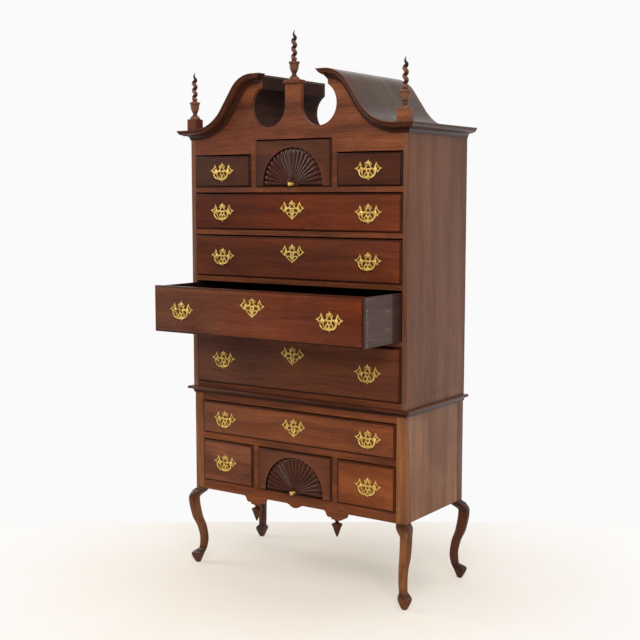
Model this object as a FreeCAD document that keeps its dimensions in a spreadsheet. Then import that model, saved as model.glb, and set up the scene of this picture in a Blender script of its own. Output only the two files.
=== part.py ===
import FreeCAD, Part
import math
import os
import re

import Sketcher
from FreeCAD import Placement, Rotation, Vector

# Bonnet-top highboy: an upper case of nine drawers that stands on a lower case with
# cabriole legs.  Millimetres, +Z up, the front looks along -Y.  Every part is modelled
# with x = 0 on the middle of the case and y = 0 on the front of the upper case, and is then
# moved back by origin_y, so that the origin lies on the floor under the middle of the whole.

os.makedirs("parts", exist_ok=True)
doc = FreeCAD.newDocument("Highboy")

# ---------------------------------------------------------------------------
# Sizes: the driving dimensions
# ---------------------------------------------------------------------------

SIZES = [
    # the two cases
    ("upper_width", 1036, "outside width of the upper case"),
    ("upper_depth", 462, "front of the upper case to the back of both cases"),
    ("upper_side_thick", 22, "side boards of the upper case"),
    ("lower_inset", 3, "sides of the lower case inside the sides of the upper case"),
    ("lower_setback", 5, "front of the lower case behind the upper one"),
    ("leg_height", 330, "floor to the lower edge of the lower case"),
    ("post_width", 43, "square corner posts, one piece with the legs"),
    ("panel_thick", 18, "side panels of the lower case"),
    ("panel_recess", 1, "side panels behind the faces of the posts"),
    ("back_thick", 12, "back boards of both cases"),
    ("rail_thick", 21, "rails between the upper drawers"),
    ("rail_depth", 60, "rails and dividers, front to back"),
    ("mid_rail_height", 27, "rail between the lower drawers"),
    ("top_rail_height", 55, "top rail of the lower case"),
    ("apron_height", 40, "apron above its straight edge"),
    ("apron_thick", 20, "apron board"),
    ("bottom_board_thick", 23, "bottom board of the upper case"),
    ("top_board_thick", 12, "dust board over the upper drawers"),
    ("top_board_rise", 4, "dust board above the tallest drawer opening"),
    ("divider_thick", 24, "upright dividers beside the carved drawers"),
    ("runner_width", 30, "drawer runners"),
    ("guide_height", 18, "side guides on the middle runners"),
    # drawer openings, from the bottom up
    ("lower_small_opening", 178, "height of the three lowest openings"),
    ("lower_long_opening", 138, "long drawer 5"),
    ("opening_four", 213, "long drawer 4"),
    ("opening_three", 190, "long drawer 3"),
    ("opening_two", 171, "long drawer 2"),
    ("opening_one", 150, "long drawer 1"),
    ("small_opening", 131, "small drawers beside the upper carved drawer"),
    ("shell_opening", 186, "upper carved drawer"),
    ("shell_width", 364, "width of both carved drawer openings"),
    # drawers
    ("gap_side", 4, "drawer front to each side of its opening"),
    ("gap_top", 5, "drawer front to the top of its opening"),
    ("gap_bottom", 1.5, "drawer front to the bottom of its opening"),
    ("front_thick", 22, "drawer fronts"),
    ("front_proud", 6, "drawer fronts before the face of the case"),
    ("front_bevel", 2.5, "bevel round each drawer front"),
    ("drawer_back_gap", 26, "closed upper drawers before the back board"),
    ("side_inset", 1, "drawer sides in from the ends of the front"),
    ("side_drop", 3, "drawer sides below the top of the front"),
    ("box_thick", 12, "drawer sides and backs"),
    ("box_back_drop", 6, "drawer backs below the top of the sides"),
    ("box_bottom_thick", 7, "drawer bottoms"),
    ("box_bottom_rise", 8, "drawer bottoms above the lower edge of the sides"),
    ("groove_depth", 6, "groove for the bottom in the sides and the front"),
    ("runner_gap", 0.3, "drawer sides above their runners"),
    ("rest_opening", 258, "how far long drawer 3 stands open"),
    # carved fans
    ("fan_radius", 142, "carved half disc"),
    ("fan_rise", 14, "centre of the fan above the edge of the front"),
    ("fan_depth", 8, "depth of the valleys at the rim"),
    ("fan_ridge_depth", 2.5, "depth of the ridges at the rim"),
    ("fan_hub_depth", 4, "depth at the centre"),
    ("fan_scallop", 5, "rim of a ridge inside the rim of a valley"),
    # brasses
    ("handle_inset", 146, "middle of a handle to the side of the upper openings"),
    ("post_spread", 29.5, "middle of a handle to each of its posts"),
    ("plate_thick", 1.8, "back plates and escutcheons"),
    ("escutcheon_drop", 57, "escutcheons below the upper edge of the front"),
    ("bail_standoff", 9, "bail pivot before the drawer front"),
    ("bail_bar", 2.3, "bail half thickness"),
    ("bail_reach", 32, "pivot down to the middle of the bail grip"),
    ("pintle_radius", 1.5, "pins on the ends of a bail"),
    ("pintle_clearance", 0.1, "pin in the hole of its post"),
    ("post_head", 3.6, "post head, half height"),
    ("post_head_half", 2.6, "post head, half width"),
    ("shank_half", 1.8, "square shank of a post, half width"),
    ("nut_half", 5, "square nut, half width"),
    ("nut_thick", 4, "square nut"),
    ("keyhole_half", 2, "half width of a keyhole"),
    ("keyhole_height", 16, "height of a keyhole"),
    ("keyhole_drop", 11.5, "middle of a keyhole below the middle of its escutcheon"),
    ("lock_width", 64, "lock on the back of a long drawer front"),
    ("lock_height", 42, "lock height"),
    ("lock_thick", 9, "lock thickness"),
    ("lock_drop", 6, "middle of a lock below the middle of its escutcheon"),
    ("knob_radius", 8, "knob of a carved drawer"),
    ("knob_rise", 9, "knob above the lower edge of the front"),
    ("knob_length", 22, "knob before its drawer front"),
    ("knob_stem", 2.6, "stem radius of a knob"),
    ("knob_base", 4.6, "foot radius of a knob"),
    ("knob_tang", 12, "tang of a knob in the thickness of its drawer front"),
    # waist moulding
    ("waist_nose", 6, "radius of the half-round nose"),
    ("waist_cove", 11, "radius of the cove"),
    ("waist_lip", 4, "straight edge under the cove, as thick as it is high"),
    ("waist_projection", 24, "moulding out from the lower case"),
    # cornice and swan necks
    ("cornice_fillet", 6, "flat top edge of the cornice"),
    ("cornice_ovolo", 12, "radius of the quarter round"),
    ("cornice_cove", 14, "radius of the cove"),
    ("cornice_quirk", 3, "small flats of the cornice"),
    ("cornice_projection", 42, "cornice out from the upper case"),
    ("frieze_height", 45, "carved drawer opening to the top of the cornice"),
    ("pediment_rise", 211, "cornice top to the top of the horns"),
    ("scroll_top_reach", 9, "middle of the upper bend beyond the inner face of its hood"),
    ("scroll_top_radius", 122, "upper bend of the swan neck"),
    ("scroll_foot_inset", 43, "middle of the lower bend to the side of the case"),
    ("scroll_straight", 98.64, "straight slope between the two bends"),
    ("horn_lean", 30, "tip of a horn before the inner face of its hood"),
    ("horn_reach", 43, "inner face of a hood beyond the centre of its cut-out"),
    ("pediment_thick", 20, "pediment board"),
    ("roof_thick", 8, "bent boards over the hoods"),
    ("lining_thick", 6, "boards that close the hoods inside"),
    ("hole_radius", 83, "round cut-outs beside the middle plinth"),
    ("hole_rise", 85, "centre of the cut-outs above the cornice top"),
    ("plinth_half", 37, "half width of the middle plinth"),
    ("plinth_rise", 167, "top of the middle plinth above the cornice top"),
    ("cap_height", 13, "cap of the middle plinth"),
    ("cap_overhang", 4, "cap beyond each side of the plinth"),
    ("cap_depth", 46, "cap, front to back"),
    ("block_size", 46, "square blocks under the side finials"),
    ("block_height", 47, "height of the side blocks"),
    ("block_inset", 18, "side finials to the sides of the case"),
    ("block_setback", 5, "side finials behind the front"),
    # finials, upwards from their feet
    ("finial_base_radius", 22.5, "foot"),
    ("finial_base_height", 5, "foot"),
    ("finial_slope_radius", 17, "end of the slope over the foot"),
    ("finial_slope_height", 13, "end of the slope over the foot"),
    ("finial_neck_radius", 8.5, "neck under the urn and collar over it"),
    ("finial_neck_height", 20, "neck under the urn"),
    ("finial_bowl_radius", 16, "lower part of the urn"),
    ("finial_bowl_height", 37, "lower part of the urn"),
    ("finial_urn_radius", 18.5, "top of the urn"),
    ("finial_urn_height", 59, "top of the urn"),
    ("finial_rim_radius", 22, "rim over the urn"),
    ("finial_rim_low", 64, "lower edge of the rim"),
    ("finial_rim_high", 69, "upper edge of the rim"),
    ("finial_collar_height", 75, "collar under the twist"),
    ("twist_start", 80, "start of the twist above the foot"),
    ("twist_end", 161, "end of the even part of the twist"),
    ("twist_pitch", 29, "height of one turn of the twist"),
    ("twist_radius", 8.7, "radius of the twisted strand"),
    ("twist_offset", 3.5, "strand off the axis"),
    ("finial_height", 190, "foot to tip"),
    # apron
    ("lobe_half", 46, "half width of the middle lobe"),
    ("lobe_drop", 15, "middle lobe below the straight edge"),
    ("drop_spread", 199, "middle of the case to each turned drop"),
    ("drop_block_half", 60, "half width of the shaped block over a drop"),
    ("drop_step_half", 33, "half width of the block at its foot"),
    ("drop_block_drop", 24, "shaped block below the straight edge"),
    ("drop_foot_half", 22, "half width of the small step"),
    ("drop_foot_drop", 7, "height of the small step"),
    # turned drops, downwards from their blocks
    ("drop_collar_radius", 12, "collar"),
    ("drop_collar_height", 3, "collar"),
    ("drop_neck_radius", 7, "neck"),
    ("drop_neck_top", 6, "upper end of the neck"),
    ("drop_neck_foot", 11, "lower end of the neck"),
    ("drop_flare_radius", 22, "widest part"),
    ("drop_flare_top", 18, "upper edge of the widest part"),
    ("drop_flare_foot", 22, "lower edge of the widest part"),
    ("drop_cup_radius", 16, "start of the long point"),
    ("drop_cup_top", 27, "start of the long point"),
    ("drop_point_radius", 2, "blunt end of the point"),
    ("drop_length", 70, "whole length"),
]

# Square section of a leg from the knee down: share of the leg's height, then its outer and its
# inner edge, both measured outward from the face of the lower case.
LEG_STATIONS = [
    ("knee_top", 0.955, 13, -36),
    ("knee", 0.86, 28, -12),
    ("calf_top", 0.62, 14, -20),
    ("calf", 0.47, -3, -31),
    ("ankle", 0.315, -9, -35),
    ("heel", 0.2, -6, -31),
    ("toe", 0.118, 18.5, -23),
    ("sole", 0, 5, -11),
]
for station, share, outer_edge, inner_edge in LEG_STATIONS:
    SIZES += [(station + "_share", share, "height of the station as a share of the leg"),
              (station + "_outer", outer_edge, "outer edge of the leg there"),
              (station + "_inner", inner_edge, "inner edge of the leg there")]

# Levels: places that follow from the sizes
LEVELS = [
    ("upper_half", "upper_width / 2"),
    ("upper_inner", "upper_half - upper_side_thick"),
    ("lower_width", "upper_width - 2 * lower_inset"),
    ("lower_half", "lower_width / 2"),
    ("lower_inner", "lower_half - post_width"),
    ("shell_half", "shell_width / 2"),
    ("divider_outer", "shell_half + divider_thick"),
    ("back_face", "upper_depth - back_thick"),
    ("drawer_depth", "back_face + front_proud - drawer_back_gap"),
    ("handle_spread", "upper_inner - handle_inset"),
    ("apron_top", "leg_height + apron_height"),
    ("lower_small_top", "apron_top + lower_small_opening"),
    ("mid_rail_top", "lower_small_top + mid_rail_height"),
    ("lower_long_top", "mid_rail_top + lower_long_opening"),
    ("lower_top", "lower_long_top + top_rail_height"),
    ("four_bottom", "lower_top + bottom_board_thick"),
    ("four_top", "four_bottom + opening_four"),
    ("three_bottom", "four_top + rail_thick"),
    ("three_top", "three_bottom + opening_three"),
    ("two_bottom", "three_top + rail_thick"),
    ("two_top", "two_bottom + opening_two"),
    ("one_bottom", "two_top + rail_thick"),
    ("one_top", "one_bottom + opening_one"),
    ("small_bottom", "one_top + rail_thick"),
    ("small_top", "small_bottom + small_opening"),
    ("shell_top", "small_bottom + shell_opening"),
    ("cornice_top", "shell_top + frieze_height"),
    ("roof_under", "cornice_top - roof_thick"),
    ("top_board_bottom", "shell_top + top_board_rise"),
    ("waist_height", "2 * waist_nose + waist_cove + waist_lip"),
    ("cornice_height", "cornice_fillet + cornice_ovolo + cornice_cove + 2 * cornice_quirk"),
    ("horn_top", "cornice_top + pediment_rise"),
    ("hole_centre_z", "cornice_top + hole_rise"),
    ("hole_centre_x", "plinth_half + hole_radius"),
    ("hole_outer_x", "hole_centre_x + hole_radius"),
    ("hole_bottom", "hole_centre_z - hole_radius"),
    ("horn_inner_x", "hole_centre_x + horn_reach"),
    ("horn_tip_x", "horn_inner_x - horn_lean"),
    ("horn_chord", "horn_inner_x - hole_centre_x"),
    ("horn_foot_z", "hole_centre_z + sqrt(hole_radius * hole_radius - horn_chord * horn_chord)"),
    ("lining_radius", "hole_radius + lining_thick"),
    ("lining_chord", "horn_chord + lining_thick"),
    ("lining_foot_z",
     "hole_centre_z + sqrt(lining_radius * lining_radius - lining_chord * lining_chord)"),
    ("plinth_top", "cornice_top + plinth_rise"),
    ("block_spread", "upper_half - block_inset"),
    ("scroll_top_x", "horn_inner_x + scroll_top_reach"),
    ("scroll_foot_x", "upper_half - scroll_foot_inset"),
    ("scroll_span", "scroll_foot_x - scroll_top_x"),
    ("scroll_radii", "(scroll_span * scroll_span + pediment_rise * pediment_rise"
                     " - scroll_straight * scroll_straight) / (2 * pediment_rise)"),
    ("scroll_foot_radius", "scroll_radii - scroll_top_radius"),
    ("scroll_top_z", "horn_top - scroll_top_radius"),
    ("scroll_foot_z", "cornice_top + scroll_foot_radius"),
    ("scroll_fall", "scroll_foot_z - scroll_top_z"),
    ("scroll_reach", "sqrt(scroll_span * scroll_span + scroll_fall * scroll_fall)"),
    ("scroll_tilt", "acos(scroll_radii / scroll_reach) + atan(scroll_fall / scroll_span)"),
    ("scroll_cos", "cos(scroll_tilt)"),
    ("scroll_sin", "sin(scroll_tilt)"),
    ("handle_front", "rest_opening + front_proud + bail_standoff + post_head * cos(30)"),
    ("knee_back", "upper_depth + knee_outer"),
    ("origin_y", "(handle_front - knee_back) / 2"),
]


def fill_sheet(name, rows):
    """Write aliases, values and notes into one spreadsheet."""
    sheet = doc.addObject("Spreadsheet::Sheet", name)
    for number_of_row, row in enumerate(rows, 1):
        alias, value = row[0], row[1]
        sheet.set("A{}".format(number_of_row), alias)
        sheet.set("B{}".format(number_of_row), str(value))
        sheet.setAlias("B{}".format(number_of_row), alias)
        if len(row) > 2:
            sheet.set("C{}".format(number_of_row), row[2])
    return sheet


WORD = re.compile(r"[a-z]+(?:_[a-z]+)*")
SHEET_OF = {}
SHEET_OF.update({row[0]: "Sizes." for row in SIZES})


def bound(text):
    """The same expression with each alias led by the name of its sheet."""
    return WORD.sub(lambda word: SHEET_OF.get(word.group(0), "") + word.group(0), text)


fill_sheet("Sizes", SIZES)
fill_sheet("Levels", [(alias, "=" + bound(text)) for alias, text in LEVELS])
SHEET_OF.update({row[0]: "Levels." for row in LEVELS})
doc.recompute()

VALUE = {}
for sheet_name, sheet_rows in (("Sizes", SIZES), ("Levels", LEVELS)):
    for sheet_row in sheet_rows:
        cell_value = getattr(doc.getObject(sheet_name), sheet_row[0])
        VALUE[sheet_row[0]] = float(getattr(cell_value, "Value", cell_value))


def number(text):
    """Value of an expression in the aliases of the two sheets."""
    plain = WORD.sub(lambda word: "({:.9f})".format(VALUE[word.group(0)]), text)
    return FreeCAD.Units.Quantity(plain).Value


# ---------------------------------------------------------------------------
# Makers shared by the sub-parts
# ---------------------------------------------------------------------------

FLAT_LIMIT = 1e-6
NODES = []
SHIFT = Placement(Vector(0, number("origin_y"), 0), Rotation())


def bind(target, settings):
    """Bind properties of an object to expressions in the sheets."""
    for name, text in settings:
        target.setExpression(name, bound(text))


def seat(target, label, front="0"):
    """Give a sub-part its name and its place in the shared frame."""
    target.Label = label
    bind(target, [(".Placement.Base.y", "origin_y + " + front)])
    NODES.append(target)
    return target


def block(name, across, along, up):
    """Part::Box between the given pairs of expressions in x, y and z."""
    piece = doc.addObject("Part::Box", name)
    for size, place, pair in zip(("Length", "Width", "Height"), "xyz", (across, along, up)):
        bind(piece, [(size, "({}) - ({})".format(pair[1], pair[0])),
                     (".Placement.Base." + place, pair[0])])
    return piece


def mirrored_pair(name, across, along, up):
    """One box and its mirror image on the other side of x = 0."""
    right = block(name + "_right", across, along, up)
    opposite = ("0 - ({})".format(across[1]), "0 - ({})".format(across[0]))
    return [block(name + "_left", opposite, along, up), right]


def group(label, pieces):
    """A sub-part of several separate solids."""
    whole = doc.addObject("Part::Compound", label)
    whole.Links = pieces
    return seat(whole, label)


def feature(label, solids):
    """A sub-part whose shape is worked out from the sheets."""
    whole = doc.addObject("Part::Feature", label)
    whole.Shape = Part.makeCompound(solids)
    whole.Label = label
    whole.Placement = SHIFT
    NODES.append(whole)
    return whole


def helper(name, shape):
    """A shape that another object of the document uses as its tool."""
    tool = doc.addObject("Part::Feature", name)
    tool.Shape = shape
    return tool


def arc_edge(start, end, radius, turn):
    """Arc of at most half a turn; turn is 1 for anticlockwise and -1 for clockwise."""
    chord = end - start
    middle = (start + end) * 0.5
    left = Vector(-chord.y, chord.x, 0)
    left.normalize()
    height = math.sqrt(max(radius ** 2 - (chord.Length / 2) ** 2, 0))
    centre = middle + left * (height * turn)
    first, last = (start, end) if turn > 0 else (end, start)
    angles = [math.atan2(point.y - centre.y, point.x - centre.x) for point in (first, last)]
    circle = Part.Circle(centre, Vector(0, 0, 1), radius)
    return Part.ArcOfCircle(circle, angles[0], angles[1])


def sketch_on(body, name, role, corners):
    """Closed sketch on an origin plane of its body.

    A corner is a pair of expressions, or the pair with a radius and a turn when an arc
    leads to it.  Every corner and radius is held by a constraint bound to the sheets.
    """
    sketch = body.newObject("Sketcher::SketchObject", name)
    plane = [entry for entry in body.Origin.OriginFeatures if entry.Role == role][0]
    sketch.AttachmentSupport = (plane, [""])
    sketch.MapMode = "FlatFace"
    places = [Vector(number(corner[0]), number(corner[1]), 0) for corner in corners]
    sides = []
    held = []
    for index, corner in enumerate(corners):
        start = places[index - 1]
        if len(corner) > 2:
            side = sketch.addGeometry(arc_edge(start, places[index], number(corner[2]), corner[3]))
            sides.append((side, 1, 2) if corner[3] > 0 else (side, 2, 1))
            held.append((Sketcher.Constraint("Radius", side, number(corner[2])), corner[2]))
        else:
            side = sketch.addGeometry(Part.LineSegment(start, places[index]))
            sides.append((side, 1, 2))
    for index, (side, first, last) in enumerate(sides):
        after = sides[(index + 1) % len(sides)]
        sketch.addConstraint(Sketcher.Constraint("Coincident", side, last, after[0], after[1]))
        for kind, text in zip(("DistanceX", "DistanceY"), corners[index]):
            held.append((Sketcher.Constraint(kind, -1, 1, side, last, number(text)), text))
    for index, (constraint, text) in enumerate(held):
        key = sketch.addConstraint(constraint)
        sketch.renameConstraint(key, "held_{}".format(index))
        sketch.setExpression("Constraints.held_{}".format(index), bound(text))
    return sketch


def board(name, corners, thickness, front="0"):
    """PartDesign body: an outline in x and z, padded towards the back from y = front."""
    body = doc.addObject("PartDesign::Body", name)
    profile = sketch_on(body, name + "_outline", "XZ_Plane", corners)
    pad = body.newObject("PartDesign::Pad", name + "_pad")
    pad.Profile = profile
    pad.Reversed = True
    bind(pad, [("Length", thickness)])
    bind(body, [(".Placement.Base.y", front)])
    return body


def both_sides(half):
    """Mirror a run of corners with x > 0, listed from the middle outwards, to a whole outline."""
    whole = list(half)
    for index in range(len(half) - 1, -1, -1):
        x, z = half[index][:2]
        bend = half[index + 1][2:] if index + 1 < len(half) else ()
        whole.append(("0 - ({})".format(x), z) + tuple(bend))
    return whole


def skin(first, second, third, fourth):
    """Flat face between four corners, or two triangles where they do not lie in a plane."""
    lift = (second - first).cross(third - first).dot(fourth - first)
    if abs(lift) < FLAT_LIMIT:
        return [Part.Face(Part.makePolygon([first, second, third, fourth, first]))]
    return [Part.Face(Part.makePolygon([first, second, third, first])),
            Part.Face(Part.makePolygon([first, third, fourth, first]))]


def closed(faces):
    """Solid that flat faces enclose."""
    shell = Part.Shell(faces)
    shell.sewShape()
    solid = Part.Solid(shell)
    return solid if solid.Volume > 0 else solid.reversed()


def faceted(rings):
    """Solid of flat faces through rings that have the same number of corners."""
    faces = [Part.Face(Part.makePolygon(ring + ring[:1])) for ring in (rings[0], rings[-1])]
    for ring, after in zip(rings, rings[1:]):
        for corner in range(len(ring)):
            faces += skin(ring[corner - 1], ring[corner], after[corner], after[corner - 1])
    return closed(faces)


def ring_about(centre, radius, first, second, sides):
    """Corners of a regular ring about a centre, in the plane of two unit vectors."""
    angles = [2 * math.pi * side / sides for side in range(sides)]
    return [centre + first * (radius * math.cos(angle)) + second * (radius * math.sin(angle))
            for angle in angles]


def turned(profile, centre, sides, axis=Vector(0, 0, 1), across=Vector(1, 0, 0)):
    """Turned piece; profile lists (radius, distance along the axis) pairs from end to end."""
    other = axis.cross(across)
    return faceted([ring_about(centre + axis * along, radius, across, other, sides)
                    for radius, along in profile])


def profile_of(stations):
    """Profile of a turned piece from pairs of expressions for radius and place."""
    return [(number(radius), number(place)) for radius, place in stations]


def mirror_x(shape):
    """The same shape on the other side of x = 0."""
    return shape.mirror(Vector(0, 0, 0), Vector(1, 0, 0))


# ---------------------------------------------------------------------------
# Lower case
# ---------------------------------------------------------------------------

def eased(heights, reaches):
    """Points of a smooth curve through stations, which turns back only at a station."""
    falls = [(after - before) / (low - high) for high, low, before, after
             in zip(heights, heights[1:], reaches, reaches[1:])]
    slopes = [0]
    for before, after in zip(falls, falls[1:]):
        level = before * after <= 0
        slopes.append(0 if level else 2 * before * after / (before + after))
    slopes.append(falls[-1])
    points = []
    for index, fall in enumerate(falls):
        length = heights[index + 1] - heights[index]
        for step in range(LEG_STEPS):
            part = step / LEG_STEPS
            rest = 1 - part
            reach = (reaches[index] * rest * rest * (1 + 2 * part)
                     + reaches[index + 1] * part * part * (3 - 2 * part)
                     + length * part * rest * (slopes[index] * rest - slopes[index + 1] * part))
            points.append(Vector(reach, 0, heights[index] + length * part))
    return points + [Vector(reaches[-1], 0, heights[-1])]


def leg_outline():
    """Outline of a leg blank: outward from the face of the case, and up."""
    height = number("leg_height")
    names = [station[0] for station in LEG_STATIONS]
    heights = [height] + [height * number(name + "_share") for name in names[:-1]]
    outer = eased(heights, [0] + [number(name + "_outer") for name in names[:-1]])
    inner = eased(heights, [-number("post_width")]
                  + [number(name + "_inner") for name in names[:-1]])
    sole = [Vector(number("sole_outer"), 0, 0), Vector(number("sole_inner"), 0, 0)]
    points = outer + sole + inner[::-1]
    return Part.Face(Part.makePolygon(points + points[:1]))


def front_right_leg():
    """Cabriole leg sawn to one outline on two sides, in one piece with its corner post."""
    face_x, face_y = number("lower_half"), number("lower_setback")
    width = number("post_width")
    blank = 3 * width
    outline = leg_outline()
    one_way = outline.translated(Vector(face_x, face_y - blank / 2, 0))
    one_way = one_way.extrude(Vector(0, blank, 0))
    turned_outline = outline.rotated(Vector(0, 0, 0), Vector(0, 0, 1), -90)
    other_way = turned_outline.translated(Vector(face_x - blank / 2, face_y, 0))
    other_way = other_way.extrude(Vector(blank, 0, 0))
    post = Part.makeBox(width, width, number("lower_top - leg_height"),
                        Vector(face_x - width, face_y, number("leg_height")))
    return one_way.common(other_way).fuse(post).removeSplitter().Solids[0]


def mirror_y(shape):
    """The same shape at the other end of the lower case."""
    middle = number("lower_setback + upper_depth") / 2
    return shape.mirror(Vector(0, middle, 0), Vector(0, 1, 0))


LEG_STEPS = 2
leg = front_right_leg()
feature("leg_front_left", [mirror_x(leg)])
feature("leg_front_right", [leg])
feature("leg_rear_left", [mirror_x(mirror_y(leg))])
feature("leg_rear_right", [mirror_y(leg)])

group("lower_side_panels", mirrored_pair(
    "lower_panel", ("lower_half - panel_recess - panel_thick", "lower_half - panel_recess"),
    ("lower_setback + post_width", "upper_depth - post_width"), ("leg_height", "lower_top")))

group("lower_back_panel", [block("lower_back_board", ("0 - lower_inner", "lower_inner"),
                                 ("back_face", "upper_depth"), ("leg_height", "lower_top"))])

RAIL_REACH = ("lower_setback", "lower_setback + rail_depth")
LOWER_SPAN = ("0 - lower_inner", "lower_inner")
group("lower_rails", [
    block("lower_top_rail", LOWER_SPAN, RAIL_REACH, ("lower_long_top", "lower_top")),
    block("lower_mid_rail", LOWER_SPAN, RAIL_REACH, ("lower_small_top", "mid_rail_top")),
] + mirrored_pair("lower_divider", ("shell_half", "divider_outer"), RAIL_REACH,
                  ("apron_top", "lower_small_top")))

# The apron: a straight edge with a lobe in the middle and a shaped block over each drop.
lobe_edge = "leg_height - 0.45 * lobe_drop"
block_foot = "leg_height - drop_block_drop"
step_foot = "leg_height - drop_block_drop - drop_foot_drop"
cyma_run = "(drop_block_half - drop_step_half)"


def drop_corners():
    """Corners of the shaped block over a drop, from the middle of the case outwards."""
    half_run = cyma_run + " / 2"
    half_fall = "drop_block_drop / 2"
    bend = "0.62 * drop_block_drop"
    return [
        ("drop_spread - drop_block_half", "leg_height"),
        ("drop_spread - drop_block_half + " + half_run, "leg_height - " + half_fall, bend, -1),
        ("drop_spread - drop_step_half", block_foot, bend, 1),
        ("drop_spread - drop_foot_half", block_foot),
        ("drop_spread - drop_foot_half", step_foot),
        ("drop_spread + drop_foot_half", step_foot),
        ("drop_spread + drop_foot_half", block_foot),
        ("drop_spread + drop_step_half", block_foot),
        ("drop_spread + drop_block_half - " + half_run, "leg_height - " + half_fall, bend, 1),
        ("drop_spread + drop_block_half", "leg_height", bend, -1),
    ]


lobe_corners = [
    ("0.5 * lobe_half", lobe_edge, "0.8 * lobe_half", 1),
    ("lobe_half", "leg_height", "0.8 * lobe_half", -1),
]
seat(board("apron", both_sides(lobe_corners + drop_corners() + [
    ("lower_inner", "leg_height"), ("lower_inner", "apron_top")]), "apron_thick"),
    "apron", "lower_setback")

# A turned drop hangs from each block: a neck, a flare and a long point.
DROP_SIDES = 8
DROP_PROFILE = profile_of([
    ("drop_collar_radius", "0"), ("drop_collar_radius", "drop_collar_height"),
    ("drop_neck_radius", "drop_neck_top"), ("drop_neck_radius", "drop_neck_foot"),
    ("drop_flare_radius", "drop_flare_top"), ("drop_flare_radius", "drop_flare_foot"),
    ("drop_cup_radius", "drop_cup_top"), ("drop_point_radius", "drop_length")])
drop = turned(DROP_PROFILE, Vector(number("drop_spread"),
                                   number("lower_setback + apron_thick / 2"), number(step_foot)),
              DROP_SIDES, Vector(0, 0, -1))
feature("apron_drops", [mirror_x(drop), drop])

# Runners carry the drawers.  The lower case is wider inside than its openings, so a strip on
# the side panel carries each outer runner and guides the drawer.
APRON_BACK = "lower_setback + apron_thick"
RAIL_BACK = "lower_setback + rail_depth"
PANEL_INNER = "lower_half - panel_recess - panel_thick"
lower_runners = []
for level, start, low, high in (("small", APRON_BACK, "apron_top - rail_thick", "apron_top"),
                                ("long", RAIL_BACK, "lower_small_top", "mid_rail_top")):
    lower_runners += mirrored_pair("lower_runner_" + level,
                                   ("lower_inner - runner_width", "lower_inner"),
                                   (start, "back_face"), (low, high))
    lower_runners += mirrored_pair("lower_guide_" + level, ("lower_inner", PANEL_INNER),
                                   ("lower_setback + post_width", "upper_depth - post_width"),
                                   (low, high + " + guide_height"))
lower_runners += mirrored_pair("lower_middle_runner",
                               ("shell_half - runner_width / 2",
                                "divider_outer + runner_width / 2"),
                               (APRON_BACK, "back_face"), ("apron_top - rail_thick", "apron_top"))
lower_runners += mirrored_pair("lower_middle_guide", ("shell_half", "divider_outer"),
                               (RAIL_BACK, "back_face"),
                               ("apron_top", "apron_top + guide_height"))
group("lower_runners", lower_runners)

# ---------------------------------------------------------------------------
# Upper case
# ---------------------------------------------------------------------------

UPPER_SPAN = ("0 - upper_inner", "upper_inner")
group("upper_sides", mirrored_pair("upper_side", ("upper_inner", "upper_half"),
                                   ("0", "upper_depth"), ("lower_top", "roof_under")))
group("upper_bottom_board", [block("case_bottom", UPPER_SPAN, ("0", "back_face"),
                                   ("lower_top", "four_bottom"))])
group("upper_top_board", [block("case_top", UPPER_SPAN, ("pediment_thick", "back_face"),
                                ("top_board_bottom", "top_board_bottom + top_board_thick"))])

upper_rails = []
upper_runners = []
for level, low, high in (("three", "four_top", "three_bottom"), ("two", "three_top", "two_bottom"),
                         ("one", "two_top", "one_bottom"), ("small", "one_top", "small_bottom")):
    upper_rails.append(block("upper_rail_" + level, UPPER_SPAN, ("0", "rail_depth"), (low, high)))
    upper_runners += mirrored_pair("upper_runner_" + level,
                                   ("upper_inner - runner_width", "upper_inner"),
                                   ("rail_depth", "back_face"), (low, high))
upper_rails += mirrored_pair("upper_divider", ("shell_half", "divider_outer"),
                             ("0", "rail_depth"), ("small_bottom", "small_top"))
upper_runners += mirrored_pair("upper_middle_runner",
                               ("shell_half - runner_width / 2",
                                "divider_outer + runner_width / 2"),
                               ("rail_depth", "back_face"), ("one_top", "small_bottom"))
upper_runners += mirrored_pair("upper_middle_guide", ("shell_half", "divider_outer"),
                               ("rail_depth", "back_face"),
                               ("small_bottom", "small_bottom + guide_height"))
group("upper_rails", upper_rails)
group("upper_runners", upper_runners)

# ---------------------------------------------------------------------------
# Pediment and hoods
# ---------------------------------------------------------------------------

def swan_neck(inset):
    """Corners of the swan-neck curve, from the side of the case up to the horn.

    The curve is a hollow bend, a straight slope and a round bend, each tangent to the next,
    at a distance inset under the outer face of the hoods.
    """
    foot = "(scroll_foot_radius + {})".format(inset)
    top = "(scroll_top_radius - {})".format(inset)
    return [
        ("scroll_foot_x", "cornice_top - " + inset),
        ("scroll_foot_x - {} * scroll_cos".format(foot),
         "scroll_foot_z - {} * scroll_sin".format(foot), foot, -1),
        ("scroll_top_x + {} * scroll_cos".format(top),
         "scroll_top_z + {} * scroll_sin".format(top)),
        ("scroll_top_x", "horn_top - " + inset, top, 1),
    ]


def reversed_run(corners):
    """The same run of corners walked the other way."""
    back = []
    for index in range(len(corners) - 1, -1, -1):
        bend = corners[index + 1][2:] if index + 1 < len(corners) else ()
        turn_back = (bend[0], -bend[1]) if bend else ()
        back.append(tuple(corners[index][:2]) + turn_back)
    return back


def mirrored_corners(corners):
    """The same outline on the other side of x = 0."""
    return [("0 - ({})".format(corner[0]), corner[1])
            + ((corner[2], -corner[3]) if len(corner) > 2 else ()) for corner in corners]


# From the top of a horn down its inner face and round the cut-out to its lowest point
HORN_FACE = [
    ("horn_inner_x", "horn_top - roof_thick"),
    ("horn_inner_x", "horn_foot_z"),
    ("hole_outer_x", "hole_centre_z", "hole_radius", -1),
    ("hole_centre_x", "hole_bottom", "hole_radius", -1),
]

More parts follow.
